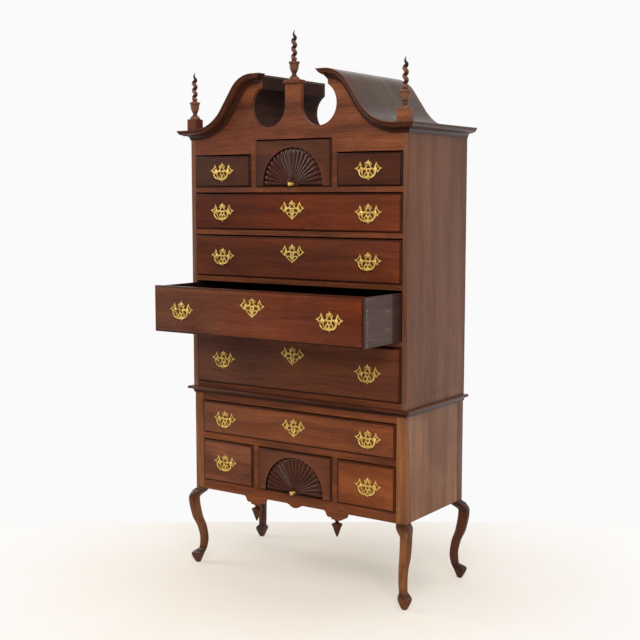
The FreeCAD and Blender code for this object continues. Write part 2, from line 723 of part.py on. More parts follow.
seat(board("pediment_board", both_sides([
    ("shell_half", "shell_top"), ("shell_half", "small_top"), ("upper_inner", "small_top"),
    ("upper_inner", "roof_under")] + swan_neck("roof_thick") + HORN_FACE + [
    ("plinth_half", "hole_centre_z", "hole_radius", -1), ("plinth_half", "plinth_top")]),
    "pediment_thick"), "pediment_board")

seat(board("upper_back_panel", both_sides([
    ("upper_inner", "lower_top"), ("upper_inner", "roof_under")]
    + swan_neck("roof_thick") + HORN_FACE), "back_thick"), "upper_back_panel", "back_face")

ROOF = ([("upper_half", "roof_under"), ("upper_half", "cornice_top")] + swan_neck("0")
        + [("horn_inner_x", "horn_top"), ("horn_inner_x", "horn_top - roof_thick")]
        + reversed_run(swan_neck("roof_thick")))
LINING = HORN_FACE + [
    ("hole_centre_x", "hole_bottom - lining_thick"),
    ("hole_outer_x + lining_thick", "hole_centre_z", "lining_radius", 1),
    ("horn_inner_x + lining_thick", "lining_foot_z", "lining_radius", 1),
    ("horn_inner_x + lining_thick", "horn_top - roof_thick"),
]
group("bonnet_right", [board("roof_right", ROOF, "upper_depth"),
                       board("lining_right", LINING, "back_face - pediment_thick",
                             "pediment_thick")])
group("bonnet_left", [board("roof_left", mirrored_corners(ROOF), "upper_depth"),
                      board("lining_left", mirrored_corners(LINING),
                            "back_face - pediment_thick", "pediment_thick")])

plinths = mirrored_pair("side_block", ("block_spread - block_size / 2",
                                       "block_spread + block_size / 2"),
                        ("block_setback - block_size / 2", "block_setback + block_size / 2"),
                        ("cornice_top", "cornice_top + block_height"))
plinths.append(block("plinth_cap", ("0 - plinth_half - cap_overhang", "plinth_half + cap_overhang"),
                     ("pediment_thick / 2 - cap_depth / 2", "pediment_thick / 2 + cap_depth / 2"),
                     ("plinth_top", "plinth_top + cap_height")))
group("plinth_blocks", plinths)

# ---------------------------------------------------------------------------
# Mouldings
# ---------------------------------------------------------------------------

CHORD_ANGLE = 30


def rounded(centre, radius, first, last):
    """Corners (down, out) of a round stretch; the angle is 0 outwards and 90 downwards."""
    chords = round(abs(last - first) / CHORD_ANGLE)
    angles = [math.radians(first + (last - first) * step / chords) for step in range(chords + 1)]
    return [(centre[0] + radius * math.sin(angle), centre[1] + radius * math.cos(angle))
            for angle in angles]


def cornice_section():
    """Cornice corners (down, out): flat edge, quarter round, small flats and cove."""
    quirk, ovolo, cove = number("cornice_quirk"), number("cornice_ovolo"), number("cornice_cove")
    reach, fillet = number("cornice_projection"), number("cornice_fillet")
    shelf = fillet + ovolo + quirk
    depth = number("cornice_height")
    return ([(0, 0), (0, reach), (fillet, reach)]
            + rounded((fillet, reach - quirk - ovolo), ovolo, 0, 90)
            + [(shelf - quirk, reach - 2 * quirk - ovolo), (shelf, reach - 2 * quirk - ovolo)]
            + rounded((shelf + cove, quirk + cove), cove, -90, -180)
            + [(depth, quirk), (depth, 0)])


def waist_section():
    """Waist corners (down, out): half-round nose over a cove."""
    nose, cove, lip = number("waist_nose"), number("waist_cove"), number("waist_lip")
    reach, depth = number("waist_projection"), number("waist_height")
    return ([(0, 0)] + rounded((nose, reach - nose), nose, -90, 90)
            + rounded((2 * nose + cove, lip + cove), cove, -90, -180)
            + [(depth, lip), (depth, 0)])


def mitre_ring(corners, half, front, top):
    """Moulding section where the front length meets the right side length."""
    return [Vector(half + out, front - out, top - down) for down, out in corners]


def side_length(corners, half, front, back, top):
    """Moulding along the right side, mitred at its front end."""
    end = [Vector(half + out, back, top - down) for down, out in corners]
    return faceted([mitre_ring(corners, half, front, top), end])


def waist_front():
    """Moulding across the front of the lower case, mitred at both ends."""
    right = mitre_ring(waist_section(), number("lower_half"), number("lower_setback"),
                       number("lower_top"))
    return faceted([[Vector(-place.x, place.y, place.z) for place in right], right])


waist_side = side_length(waist_section(), number("lower_half"), number("lower_setback"),
                         number("upper_depth"), number("lower_top"))
feature("waist_moulding", [waist_front(), mirror_x(waist_side), waist_side])

BEND_STEPS = 4


def swan_moulding():
    """Cornice section led along the swan neck, from the slanted horn to the mitred corner."""
    corners = cornice_section()
    tip, slant = number("horn_tip_x"), number("(horn_inner_x - horn_tip_x) / cornice_height")
    top, tilt = number("horn_top"), number("scroll_tilt")
    rings = [[Vector(tip + slant * down, -out, top - down) for down, out in corners]]
    for name, first, last, side in (("scroll_top", 90, tilt, 1),
                                    ("scroll_foot", 180 + tilt, 270, -1)):
        centre = Vector(number(name + "_x"), 0, number(name + "_z"))
        for step in range(BEND_STEPS + 1):
            angle = math.radians(first + (last - first) * step / BEND_STEPS)
            away = Vector(math.cos(angle), 0, math.sin(angle))
            rings.append([centre + away * (number(name + "_radius") - side * down)
                          - Vector(0, out, 0) for down, out in corners])
    rings.append(mitre_ring(corners, number("upper_half"), 0, number("cornice_top")))
    return faceted(rings)


cornice = [swan_moulding(), side_length(cornice_section(), number("upper_half"), 0,
                                        number("upper_depth"), number("cornice_top"))]
feature("cornice_right", cornice)
feature("cornice_left", [mirror_x(length) for length in cornice])

# ---------------------------------------------------------------------------
# Finials
# ---------------------------------------------------------------------------

FINIAL_SIDES = 8
FINIAL_PROFILE = profile_of([
    ("finial_base_radius", "0"), ("finial_base_radius", "finial_base_height"),
    ("finial_slope_radius", "finial_slope_height"), ("finial_neck_radius", "finial_neck_height"),
    ("finial_bowl_radius", "finial_bowl_height"), ("finial_urn_radius", "finial_urn_height"),
    ("finial_rim_radius", "finial_rim_low"), ("finial_rim_radius", "finial_rim_high"),
    ("finial_neck_radius", "finial_collar_height"),
    ("twist_radius + twist_offset / 2", "twist_start")])
STRAND_SIDES = 5
STEPS_PER_TURN = 5
TAPER_STEPS = 4
TIP_RADIUS = 0.6


def strand_ring(height, radius, offset):
    """Corners of the twisted strand, carried round the axis with the height."""
    turn = 2 * math.pi * (height - number("twist_start")) / number("twist_pitch")
    centre = Vector(offset * math.cos(turn), offset * math.sin(turn), height)
    return ring_about(centre, radius, Vector(1, 0, 0), Vector(0, 1, 0), STRAND_SIDES)


def twist():
    """Corkscrew strand of even thickness that draws in to a point."""
    start, end, top = number("twist_start"), number("twist_end"), number("finial_height")
    radius, offset = number("twist_radius"), number("twist_offset")
    steps = round((end - start) / number("twist_pitch") * STEPS_PER_TURN)
    rings = [strand_ring(start + (end - start) * step / steps, radius, offset)
             for step in range(steps + 1)]
    for step in range(1, TAPER_STEPS + 1):
        left = 1 - step / TAPER_STEPS
        rings.append(strand_ring(top - (top - end) * left,
                                 TIP_RADIUS + (radius - TIP_RADIUS) * left, offset * left))
    return faceted(rings)


finial = turned(FINIAL_PROFILE, Vector(0, 0, 0), FINIAL_SIDES).fuse(twist()).Solids[0]
finial_seats = [
    Vector(-number("block_spread"), number("block_setback"), number("cornice_top + block_height")),
    Vector(0, number("pediment_thick / 2"), number("plinth_top + cap_height")),
    Vector(number("block_spread"), number("block_setback"), number("cornice_top + block_height")),
]
feature("finials", [finial.translated(place) for place in finial_seats])

# ---------------------------------------------------------------------------
# Drawers
# ---------------------------------------------------------------------------

LONG, SMALL, SHELL = "long", "small", "shell"
UPPER_FACE = "(0 - front_proud)"
OPEN_FACE = "(0 - front_proud - rest_opening)"
LOWER_FACE = "(lower_setback - front_proud)"
ACROSS_SHELL = ("0 - shell_half", "shell_half")

# Label, kind, opening across, opening up, face of the front
DRAWERS = [
    ("small_drawer_top_left", SMALL, ("0 - upper_inner", "0 - divider_outer"),
     ("small_bottom", "small_top"), UPPER_FACE),
    ("shell_drawer_top", SHELL, ACROSS_SHELL, ("small_bottom", "shell_top"), UPPER_FACE),
    ("small_drawer_top_right", SMALL, ("divider_outer", "upper_inner"),
     ("small_bottom", "small_top"), UPPER_FACE),
    ("long_drawer_1", LONG, UPPER_SPAN, ("one_bottom", "one_top"), UPPER_FACE),
    ("long_drawer_2", LONG, UPPER_SPAN, ("two_bottom", "two_top"), UPPER_FACE),
    ("long_drawer_3", LONG, UPPER_SPAN, ("three_bottom", "three_top"), OPEN_FACE),
    ("long_drawer_4", LONG, UPPER_SPAN, ("four_bottom", "four_top"), UPPER_FACE),
    ("long_drawer_5", LONG, LOWER_SPAN, ("mid_rail_top", "lower_long_top"), LOWER_FACE),
    ("small_drawer_bottom_left", SMALL, ("0 - lower_inner", "0 - divider_outer"),
     ("apron_top", "lower_small_top"), LOWER_FACE),
    ("shell_drawer_bottom", SHELL, ACROSS_SHELL, ("apron_top", "lower_small_top"), LOWER_FACE),
    ("small_drawer_bottom_right", SMALL, ("divider_outer", "lower_inner"),
     ("apron_top", "lower_small_top"), LOWER_FACE),
]
FAN_LOBES = 20


def front_edges(up):
    """Lower edge, upper edge and middle height of a drawer front in its opening."""
    low = "({} + gap_bottom)".format(up[0])
    high = "({} - gap_top)".format(up[1])
    return low, high, "(({} + {}) / 2)".format(low, high)


def handle_places(label, kind):
    """Middle of each bail handle of a drawer, measured from the middle of the case."""
    if kind == LONG:
        return [("left", "(0 - handle_spread)"), ("right", "handle_spread")]
    if kind == SMALL:
        return [("", "(0 - handle_spread)" if label.endswith("left") else "handle_spread")]
    return []


def drawer_front(label, across, low, high, face):
    """Solid front with a bevel round its outer face."""
    left, right = across[0] + " + gap_side", across[1] + " - gap_side"
    front = board(label + "_front", [(left, low), (right, low), (right, high), (left, high)],
                  "front_thick", face)
    doc.recompute()
    pad = front.Tip
    faces = {index: shape for index, shape in enumerate(pad.Shape.Faces, 1)}
    outer = min(faces, key=lambda index: faces[index].CenterOfMass.y)
    bevel = front.newObject("PartDesign::Chamfer", label + "_bevel")
    bevel.Base = (pad, ["Face{}".format(outer)])
    bind(bevel, [("Size", "front_bevel")])
    front.Tip = bevel
    return front


def fan_recess(low, face):
    """Half disc of hollow rays that deepen from the hub to a scalloped rim."""
    centre_z = number(low + " + fan_rise")
    front = number(face)
    fall = number("fan_depth - fan_ridge_depth")
    outside = front - 1
    hub = Vector(0, front + number("fan_hub_depth"), centre_z)
    hub_out = Vector(0, outside, centre_z)
    rims = []
    for step in range(2 * FAN_LOBES + 1):
        angle = math.pi * step / (2 * FAN_LOBES)
        ridge = step % 2 == 0
        radius = number("fan_radius") - (number("fan_scallop") if ridge else 0)
        depth = number("fan_ridge_depth") + (0 if ridge else fall)
        x, z = radius * math.cos(angle), centre_z + radius * math.sin(angle)
        rims.append((Vector(x, outside, z), Vector(x, front + depth, z)))
    outline = [rim[0] for rim in rims]
    faces = [Part.Face(Part.makePolygon(outline + [hub_out, outline[0]]))]
    for (near_out, near_in), (far_out, far_in) in zip(rims, rims[1:]):
        faces.append(Part.Face(Part.makePolygon([hub, near_in, far_in, hub])))
        faces.append(Part.Face(Part.makePolygon([near_out, near_in, far_in, far_out, near_out])))
    for rim_out, rim_in in (rims[0], rims[-1]):
        faces.append(Part.Face(Part.makePolygon([hub_out, hub, rim_in, rim_out, hub_out])))
    return closed(faces)


def square_hole(name, x, z, half_x, half_z, face, depth="front_thick"):
    """Cutter from the face of a drawer front inwards."""
    return block(name, (x + " - " + half_x, x + " + " + half_x),
                 (face, face + " + " + depth), (z + " - " + half_z, z + " + " + half_z))


def drawer(label, kind, across, up, face):
    """Front, two sides, bottom in its grooves, and back between the sides."""
    low, high, middle = front_edges(up)
    left, right = across[0] + " + gap_side", across[1] + " - gap_side"
    floor = up[0] + " + runner_gap"
    inside = (face + " + front_thick", face + " + drawer_depth")
    side_top = high + " - side_drop"
    outer = (left + " + side_inset", right + " - side_inset")
    inner = (outer[0] + " + box_thick", outer[1] + " - box_thick")
    bottom_top = floor + " + box_bottom_rise + box_bottom_thick"
    walls = [
        drawer_front(label, across, low, high, face),
        block(label + "_side_left", (outer[0], inner[0]), inside, (floor, side_top)),
        block(label + "_side_right", (inner[1], outer[1]), inside, (floor, side_top)),
    ]
    bottom = block(label + "_bottom", (inner[0] + " - groove_depth", inner[1] + " + groove_depth"),
                   (inside[0] + " - groove_depth", inside[1]),
                   (floor + " + box_bottom_rise", bottom_top))
    back = block(label + "_back", inner, (inside[1] + " - box_thick", inside[1]),
                 (bottom_top, side_top + " - box_back_drop"))
    cutters = [bottom]
    for side, x in handle_places(label, kind):
        for hand in ("-", "+"):
            cutters.append(square_hole(label + "_post_hole", "{} {} post_spread".format(x, hand),
                                       middle, "shank_half", "shank_half", face))
    if kind == LONG:
        cutters.append(square_hole(label + "_keyhole", "0",
                                   high + " - escutcheon_drop - keyhole_drop",
                                   "keyhole_half", "keyhole_height / 2", face))
    if kind == SHELL:
        cutters.append(square_hole(label + "_knob_hole", "0", low + " + knob_rise",
                                   "shank_half", "shank_half", face, "knob_tang"))
        cutters.append(helper(label + "_fan", fan_recess(low, face)))
    solid_walls = doc.addObject("Part::Compound", label + "_walls")
    solid_walls.Links = walls
    tools = doc.addObject("Part::Compound", label + "_tools")
    tools.Links = cutters
    cut = doc.addObject("Part::Cut", label + "_cut")
    cut.Base = solid_walls
    cut.Tool = tools
    group(label, [cut, bottom, back])


for drawer_row in DRAWERS:
    drawer(*drawer_row)

# ---------------------------------------------------------------------------
# Brasses
# ---------------------------------------------------------------------------

# Right half of the back plate, from the top finial down to the bottom point, about the
# line of the bail's pins: (x, z) pairs.
PLATE_HALF = [(0, 35), (15, 21), (9, 9), (21, 1), (29, 8), (36, 27), (45, 8), (60, 4),
              (38, -11), (0, -42)]
PLATE_HOLES = [[(33, 5), (37, 15), (41, 5)], [(7, -8), (19, -10), (14, -25)]]
ESCUTCHEON_HALF = [(0, 32), (14, 20), (9, 10), (20, 0), (28, 6), (37, 25), (46, 5), (57, 0),
                   (38, -17), (0, -45)]
ESCUTCHEON_HOLES = [[(33, 2), (37, 12), (41, 2)], [(8, -8), (22, -9), (12, -25)]]


def pierced_plate(half, holes, middle_holes=()):
    """Flat brass with mirrored outline and piercings; its back lies in the plane y = 0."""
    left = [(-x, z) for x, z in reversed(half) if x > 0]
    outlines = [list(half) + left] + list(middle_holes)
    outlines += holes + [[(-x, z) for x, z in hole] for hole in holes]
    wires = []
    for outline in outlines:
        points = [Vector(x, 0, z) for x, z in outline]
        wires.append(Part.makePolygon(points + points[:1]))
    plate = Part.Face(wires[0])
    for wire in wires[1:]:
        plate = plate.cut(Part.Face(wire))
    return plate.Faces[0].extrude(Vector(0, -number("plate_thick"), 0))


def plain_face(centre, radius, first, second, sides):
    """Regular flat face about a centre in the plane of two unit vectors."""
    corners = ring_about(centre, radius, first, second, sides)
    return Part.Face(Part.makePolygon(corners + corners[:1]))


def cube(across, along, up):
    """Box between pairs of numbers."""
    corner = Vector(across[0], along[0], up[0])
    return Part.makeBox(across[1] - across[0], along[1] - along[0], up[1] - up[0], corner)


ALONG_Y, ALONG_Z = Vector(0, 1, 0), Vector(0, 0, 1)
KNOB_SIDES = 8
HEAD_SIDES = 6
BAR_SIDES = 6
PIN_SIDES = 4
BAIL_STEPS = 4


def fixing(x, z, start):
    """Square shank from y = start through the front, with its nut inside."""
    half, nut, inner = number("shank_half"), number("nut_half"), number("front_thick")
    shank = cube((x - half, x + half), (start, inner), (z - half, z + half))
    return shank.fuse(cube((x - nut, x + nut), (inner, inner + number("nut_thick")),
                           (z - nut, z + nut)))


def bail_post(x):
    """Post of a handle: a pierced head that holds one pin of the bail, and its fixing."""
    half, away = number("post_head_half"), number("bail_standoff")
    centre = Vector(x - half, -away, 0)
    eye = number("pintle_radius + pintle_clearance")
    rim = number("post_head") * math.cos(math.pi / HEAD_SIDES)
    head = plain_face(centre, number("post_head"), ALONG_Z, ALONG_Y, HEAD_SIDES)
    hole = plain_face(centre, eye / math.cos(math.pi / PIN_SIDES), ALONG_Z + ALONG_Y,
                      ALONG_Z - ALONG_Y, PIN_SIDES)
    head = head.cut(hole).Faces[0].extrude(Vector(2 * half, 0, 0))
    return head.fuse(fixing(x, 0, (rim + eye) / 2 - away))


def handle():
    """Back plate with its two posts, about the middle of the pins' line on the drawer face."""
    spread = number("post_spread")
    plate = pierced_plate(PLATE_HALF, PLATE_HOLES)
    return plate.fuse([bail_post(-spread), bail_post(spread)]).removeSplitter().Solids[0]


def escutcheon():
    """Pierced plate round the keyhole."""
    half = number("keyhole_half")
    high = number("keyhole_height / 2 - keyhole_drop")
    low = high - number("keyhole_height")
    keyhole = [(half, high), (half, low), (-half, low), (-half, high)]
    return pierced_plate(ESCUTCHEON_HALF, ESCUTCHEON_HOLES, [keyhole])


def lock():
    """Lock case on the inner face of a long drawer's front."""
    half, inner = number("lock_width / 2"), number("front_thick")
    return cube((-half, half), (inner, inner + number("lock_thick")),
                (number("0 - lock_height / 2 - lock_drop"), number("lock_height / 2 - lock_drop")))


def knob():
    """Turned knob on a square tang."""
    ball, stem, length = number("knob_radius"), number("knob_stem"), number("knob_length")
    half = number("shank_half")
    profile = [(number("knob_base"), 0), (stem, 4), (stem, length - 2 * ball),
               (ball * 0.75, length - 1.7 * ball), (ball, length - ball),
               (ball * 0.75, length - 0.3 * ball), (ball * 0.2, length)]
    body = turned(profile, Vector(0, 0, 0), KNOB_SIDES, Vector(0, -1, 0))
    return body.fuse(cube((-half, half), (0, number("knob_tang")), (-half, half))).Solids[0]


def bail():
    """Swinging grip: a bow of hexagonal bar, straight beside its posts, with a pin each end."""
    bar, reach = number("bail_bar"), number("bail_reach")
    half = number("post_spread + post_head_half + runner_gap") + bar
    straight = number("post_head") + bar
    sag = reach - straight
    radius = (half ** 2 + sag ** 2) / (2 * sag)
    centre = Vector(0, 0, radius - reach)
    start = math.atan2(sag - radius, half)
    ends = [ring_about(Vector(side * half, 0, bar), bar, Vector(side, 0, 0), ALONG_Y, BAR_SIDES)
            for side in (1, -1)]
    rings = []
    for step in range(BAIL_STEPS + 1):
        angle = start - (math.pi + 2 * start) * step / BAIL_STEPS
        outward = Vector(math.cos(angle), 0, math.sin(angle))
        rings.append(ring_about(centre + outward * radius, bar, outward, ALONG_Y, BAR_SIDES))
    bow = faceted([ends[0]] + rings + [ends[1]])
    inner = number("post_spread - post_head_half")
    pins = [plain_face(Vector(side * half, 0, 0), number("pintle_radius"), ALONG_Y, ALONG_Z,
                       PIN_SIDES).extrude(Vector(side * (inner - half), 0, 0))
            for side in (-1, 1)]
    return bow.fuse(pins).removeSplitter().Solids[0]


HANDLE, ESCUTCHEON, LOCK, KNOB, BAIL = handle(), escutcheon(), lock(), knob(), bail()

for drawer_label, kind, _, up, face in DRAWERS:
    low, high, middle = front_edges(up)
    depth, middle_z = number(face), number(middle)
    brasses = []
    for side, x in handle_places(drawer_label, kind):
        place = Vector(number(x), depth, middle_z)
        brasses.append(HANDLE.translated(place))
        bail_label = "_".join(part for part in (drawer_label, "bail", side) if part)
        feature(bail_label, [BAIL.translated(place - Vector(0, number("bail_standoff"), 0))])
    if kind == LONG:
        shield_z = number(high + " - escutcheon_drop")
        brasses += [piece.translated(Vector(0, depth, shield_z)) for piece in (ESCUTCHEON, LOCK)]
    if kind == SHELL:
        brasses.append(KNOB.translated(Vector(0, depth, number(low + " + knob_rise"))))
    feature(drawer_label + "_brasses", brasses)

# ---------------------------------------------------------------------------
# Check every object, then write one file for each sub-part
# ---------------------------------------------------------------------------

doc.recompute()
for entry in doc.Objects:
    if "Invalid" in entry.State or "Error" in entry.State:
        raise RuntimeError("{} did not compute: {}".format(entry.Name, entry.State))
for entry in NODES:
    if entry.Shape.isNull() or not entry.Shape.isValid():
        raise RuntimeError("{} has no valid shape".format(entry.Label))
for entry in NODES:
    entry.Shape.exportStep("parts/{}.step".format(entry.Label))
print("{} sub-parts written".format(len(NODES)))
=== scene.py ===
"""Dressed model of a bonnet-top highboy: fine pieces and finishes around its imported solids."""
import logging
import math
from dataclasses import dataclass
from enum import Enum
from functools import cached_property
from typing import Any, Callable, Sequence

import bmesh
import bpy
from bpy.types import Material, Mesh, Node, NodeSocket, Object
from mathutils import Matrix, Vector


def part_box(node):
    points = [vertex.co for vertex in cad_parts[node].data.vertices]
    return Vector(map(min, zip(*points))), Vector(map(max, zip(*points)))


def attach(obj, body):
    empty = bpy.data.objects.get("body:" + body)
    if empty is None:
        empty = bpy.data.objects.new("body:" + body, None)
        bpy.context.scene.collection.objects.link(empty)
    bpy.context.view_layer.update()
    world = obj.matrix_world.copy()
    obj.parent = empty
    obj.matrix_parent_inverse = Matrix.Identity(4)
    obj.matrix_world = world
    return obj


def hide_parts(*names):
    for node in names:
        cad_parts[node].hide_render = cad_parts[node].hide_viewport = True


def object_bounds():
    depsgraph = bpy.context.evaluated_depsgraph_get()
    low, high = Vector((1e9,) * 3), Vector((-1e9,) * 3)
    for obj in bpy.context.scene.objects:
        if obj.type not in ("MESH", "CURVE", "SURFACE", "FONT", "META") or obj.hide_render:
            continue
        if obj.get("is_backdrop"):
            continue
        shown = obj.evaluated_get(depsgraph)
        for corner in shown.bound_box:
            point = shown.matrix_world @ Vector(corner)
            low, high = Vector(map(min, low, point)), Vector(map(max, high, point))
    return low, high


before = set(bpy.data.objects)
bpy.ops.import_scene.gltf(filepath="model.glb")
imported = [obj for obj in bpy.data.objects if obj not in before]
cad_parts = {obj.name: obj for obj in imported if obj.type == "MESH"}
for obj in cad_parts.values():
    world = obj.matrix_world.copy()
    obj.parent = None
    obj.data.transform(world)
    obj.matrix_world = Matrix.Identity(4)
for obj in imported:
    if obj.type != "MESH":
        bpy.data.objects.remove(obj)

LOG = logging.getLogger("highboy")

# Sizes are in millimetres, with x = 0 on the middle of the case, y = 0 on the front of the
# upper case and z = 0 on the floor.
MM = 0.001
FRONT_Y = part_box("upper_sides")[0].y / MM
TO_FRAME = Matrix.Diagonal((MM, MM, MM, 1)) @ Matrix.Translation((0, FRONT_Y, 0))
FORWARD = Vector((0, -1, 0))
FULL_TURN = 2 * math.pi

Pair = tuple[float, float]
Triple = tuple[float, float, float]
Outline = Sequence[tuple[float, ...]]
Section = list[Triple]


# ---------------------------------------------------------------------------
# Lines
# ---------------------------------------------------------------------------

def linear(colour: Triple) -> tuple[float, float, float, float]:
    """Give the linear colour of a colour written in screen steps.

    Args:
        colour: Red, green and blue from 0 to 255.

    Returns:
        The colour for a node socket, with full opacity.
    """
    shares = [step / 255 for step in colour]
    red, green, blue = [share / 12.92 if share <= 0.04045 else ((share + 0.055) / 1.055) ** 2.4
                        for share in shares]
    return red, green, blue, 1.0


def turns(count: int, start: float = 0.0) -> list[float]:
    """Give the angles of a full turn in equal steps, from a share of a step on."""
    return [FULL_TURN * (step + start) / count for step in range(count)]


def arc(centre: Pair, radius: float, first: float, last: float, steps: int) -> list[Pair]:
    """Give the points of an arc.

    Args:
        centre: Middle of the arc.
        radius: Its radius.
        first: Angle of the first point in degrees.
        last: Angle of the last point in degrees.
        steps: Number of chords.

    Returns:
        The points from the first angle to the last.
    """
    angles = [math.radians(first + (last - first) * step / steps) for step in range(steps + 1)]
    return [(centre[0] + radius * math.cos(angle), centre[1] + radius * math.sin(angle))
            for angle in angles]


def rounded(centre: Pair, radius: float, first: float, last: float, shade_and_wear: float) -> Section:
    """Give a round stretch of a moulding.

    Args:
        centre: Its middle as (down, out).
        radius: Its radius.
        first: First angle, 0 outwards and 90 downwards.
        last: Last angle.
        shade_and_wear: Painted shade, or edge lightening, of the stretch.

    Returns:
        (down, out, painted shade and edge lightening) corners.
    """
    return [(down, out, shade_and_wear) for out, down in arc(centre[::-1], radius, first, last, 8)]


def bend(start: Pair, end: Pair, radius: float, turn: int, steps: int = 8) -> list[Pair]:
    """Give the points of an arc between two corners.

    Args:
        start: First corner.
        end: Last corner.
        radius: Radius of the arc.
        turn: 1 for anticlockwise and -1 for clockwise.
        steps: Number of chords.

    Returns:
        The points after the first corner, up to the last.
    """
    first, last = Vector(start), Vector(end)
    chord = last - first
    left = Vector((-chord.y, chord.x)).normalized()
    rise = math.sqrt(max(radius ** 2 - (chord.length / 2) ** 2, 0))
    centre = (first + last) / 2 + left * (rise * turn)
    begin, finish = [math.degrees(math.atan2(spot.y - centre.y, spot.x - centre.x))
                     for spot in (first, last)]
    while (finish - begin) * turn < 0:
        finish += 360 * turn
    return arc((centre.x, centre.y), radius, begin, finish, steps)[1:]


def between(start: Any, end: Any, leave: Any, arrive: Any, part: float) -> Any:
    """Give a place on a smooth curve between two places.

    Args:
        start: First place.
        end: Last place.
        leave: Direction and speed at the first.
        arrive: Direction and speed at the last.
        part: Share of the way, from 0 to 1.

    Returns:
        The place.
    """
    rest = 1 - part
    return (start * (rest * rest * (1 + 2 * part)) + end * (part * part * (3 - 2 * part))
            + leave * (part * rest * rest) - arrive * (part * part * rest))


def flowing(corners: Outline, steps: int = 4) -> list[Pair]:
    """Lead a closed smooth line through corners, with a cusp at each corner marked so.

    Args:
        corners: (x, z) corners, or (x, z, 1) where the line has a cusp.
        steps: Chords between two corners.

    Returns:
        The points of the closed line.
    """
    count = len(corners)
    places = [Vector(corner[:2]) for corner in corners]
    points: list[Pair] = []
    for index, start in enumerate(places):
        after = (index + 1) % count
        end = places[after]
        chord = end - start
        leave = chord if len(corners[index]) > 2 else (end - places[index - 1]) / 2
        arrive = chord if len(corners[after]) > 2 else (places[(after + 1) % count] - start) / 2
        points += [tuple(between(start, end, leave, arrive, step / steps))
                   for step in range(steps)]
    return points


def mirrored(points: Outline) -> list[tuple[float, ...]]:
    """Close the right half of an outline with its mirror image.

    Args:
        points: Corners with x >= 0, from the top on the middle line to the bottom on it.

    Returns:
        The whole outline.
    """
    return list(points) + [(-point[0], *point[1:]) for point in reversed(points) if point[0] > 0]


def eased(heights: Sequence[float], reaches: Sequence[float], steps: int) -> list[Pair]:
    """Lead a smooth curve through stations, so that it turns back only at a station.

    Args:
        heights: Heights of the stations from the top down.
        reaches: Reach of the curve at each of them.
        steps: Chords between two stations.

    Returns:
        (reach, height) pairs from the top down.
    """
    falls = [(after - before) / (low - high) for high, low, before, after
             in zip(heights, heights[1:], reaches, reaches[1:])]
    slopes = [0.0]
    for before, after in zip(falls, falls[1:]):
        slopes.append(0.0 if before * after <= 0 else 2 * before * after / (before + after))
    slopes.append(falls[-1])
    points: list[Pair] = []
    for index in range(len(falls)):
        length = heights[index + 1] - heights[index]
        for part in [step / steps for step in range(steps)]:
            reach = between(reaches[index], reaches[index + 1], length * slopes[index],
                            length * slopes[index + 1], part)
            points.append((reach, heights[index] + length * part))
    return points + [(reaches[-1], heights[-1])]


# ---------------------------------------------------------------------------
# Node trees
# ---------------------------------------------------------------------------

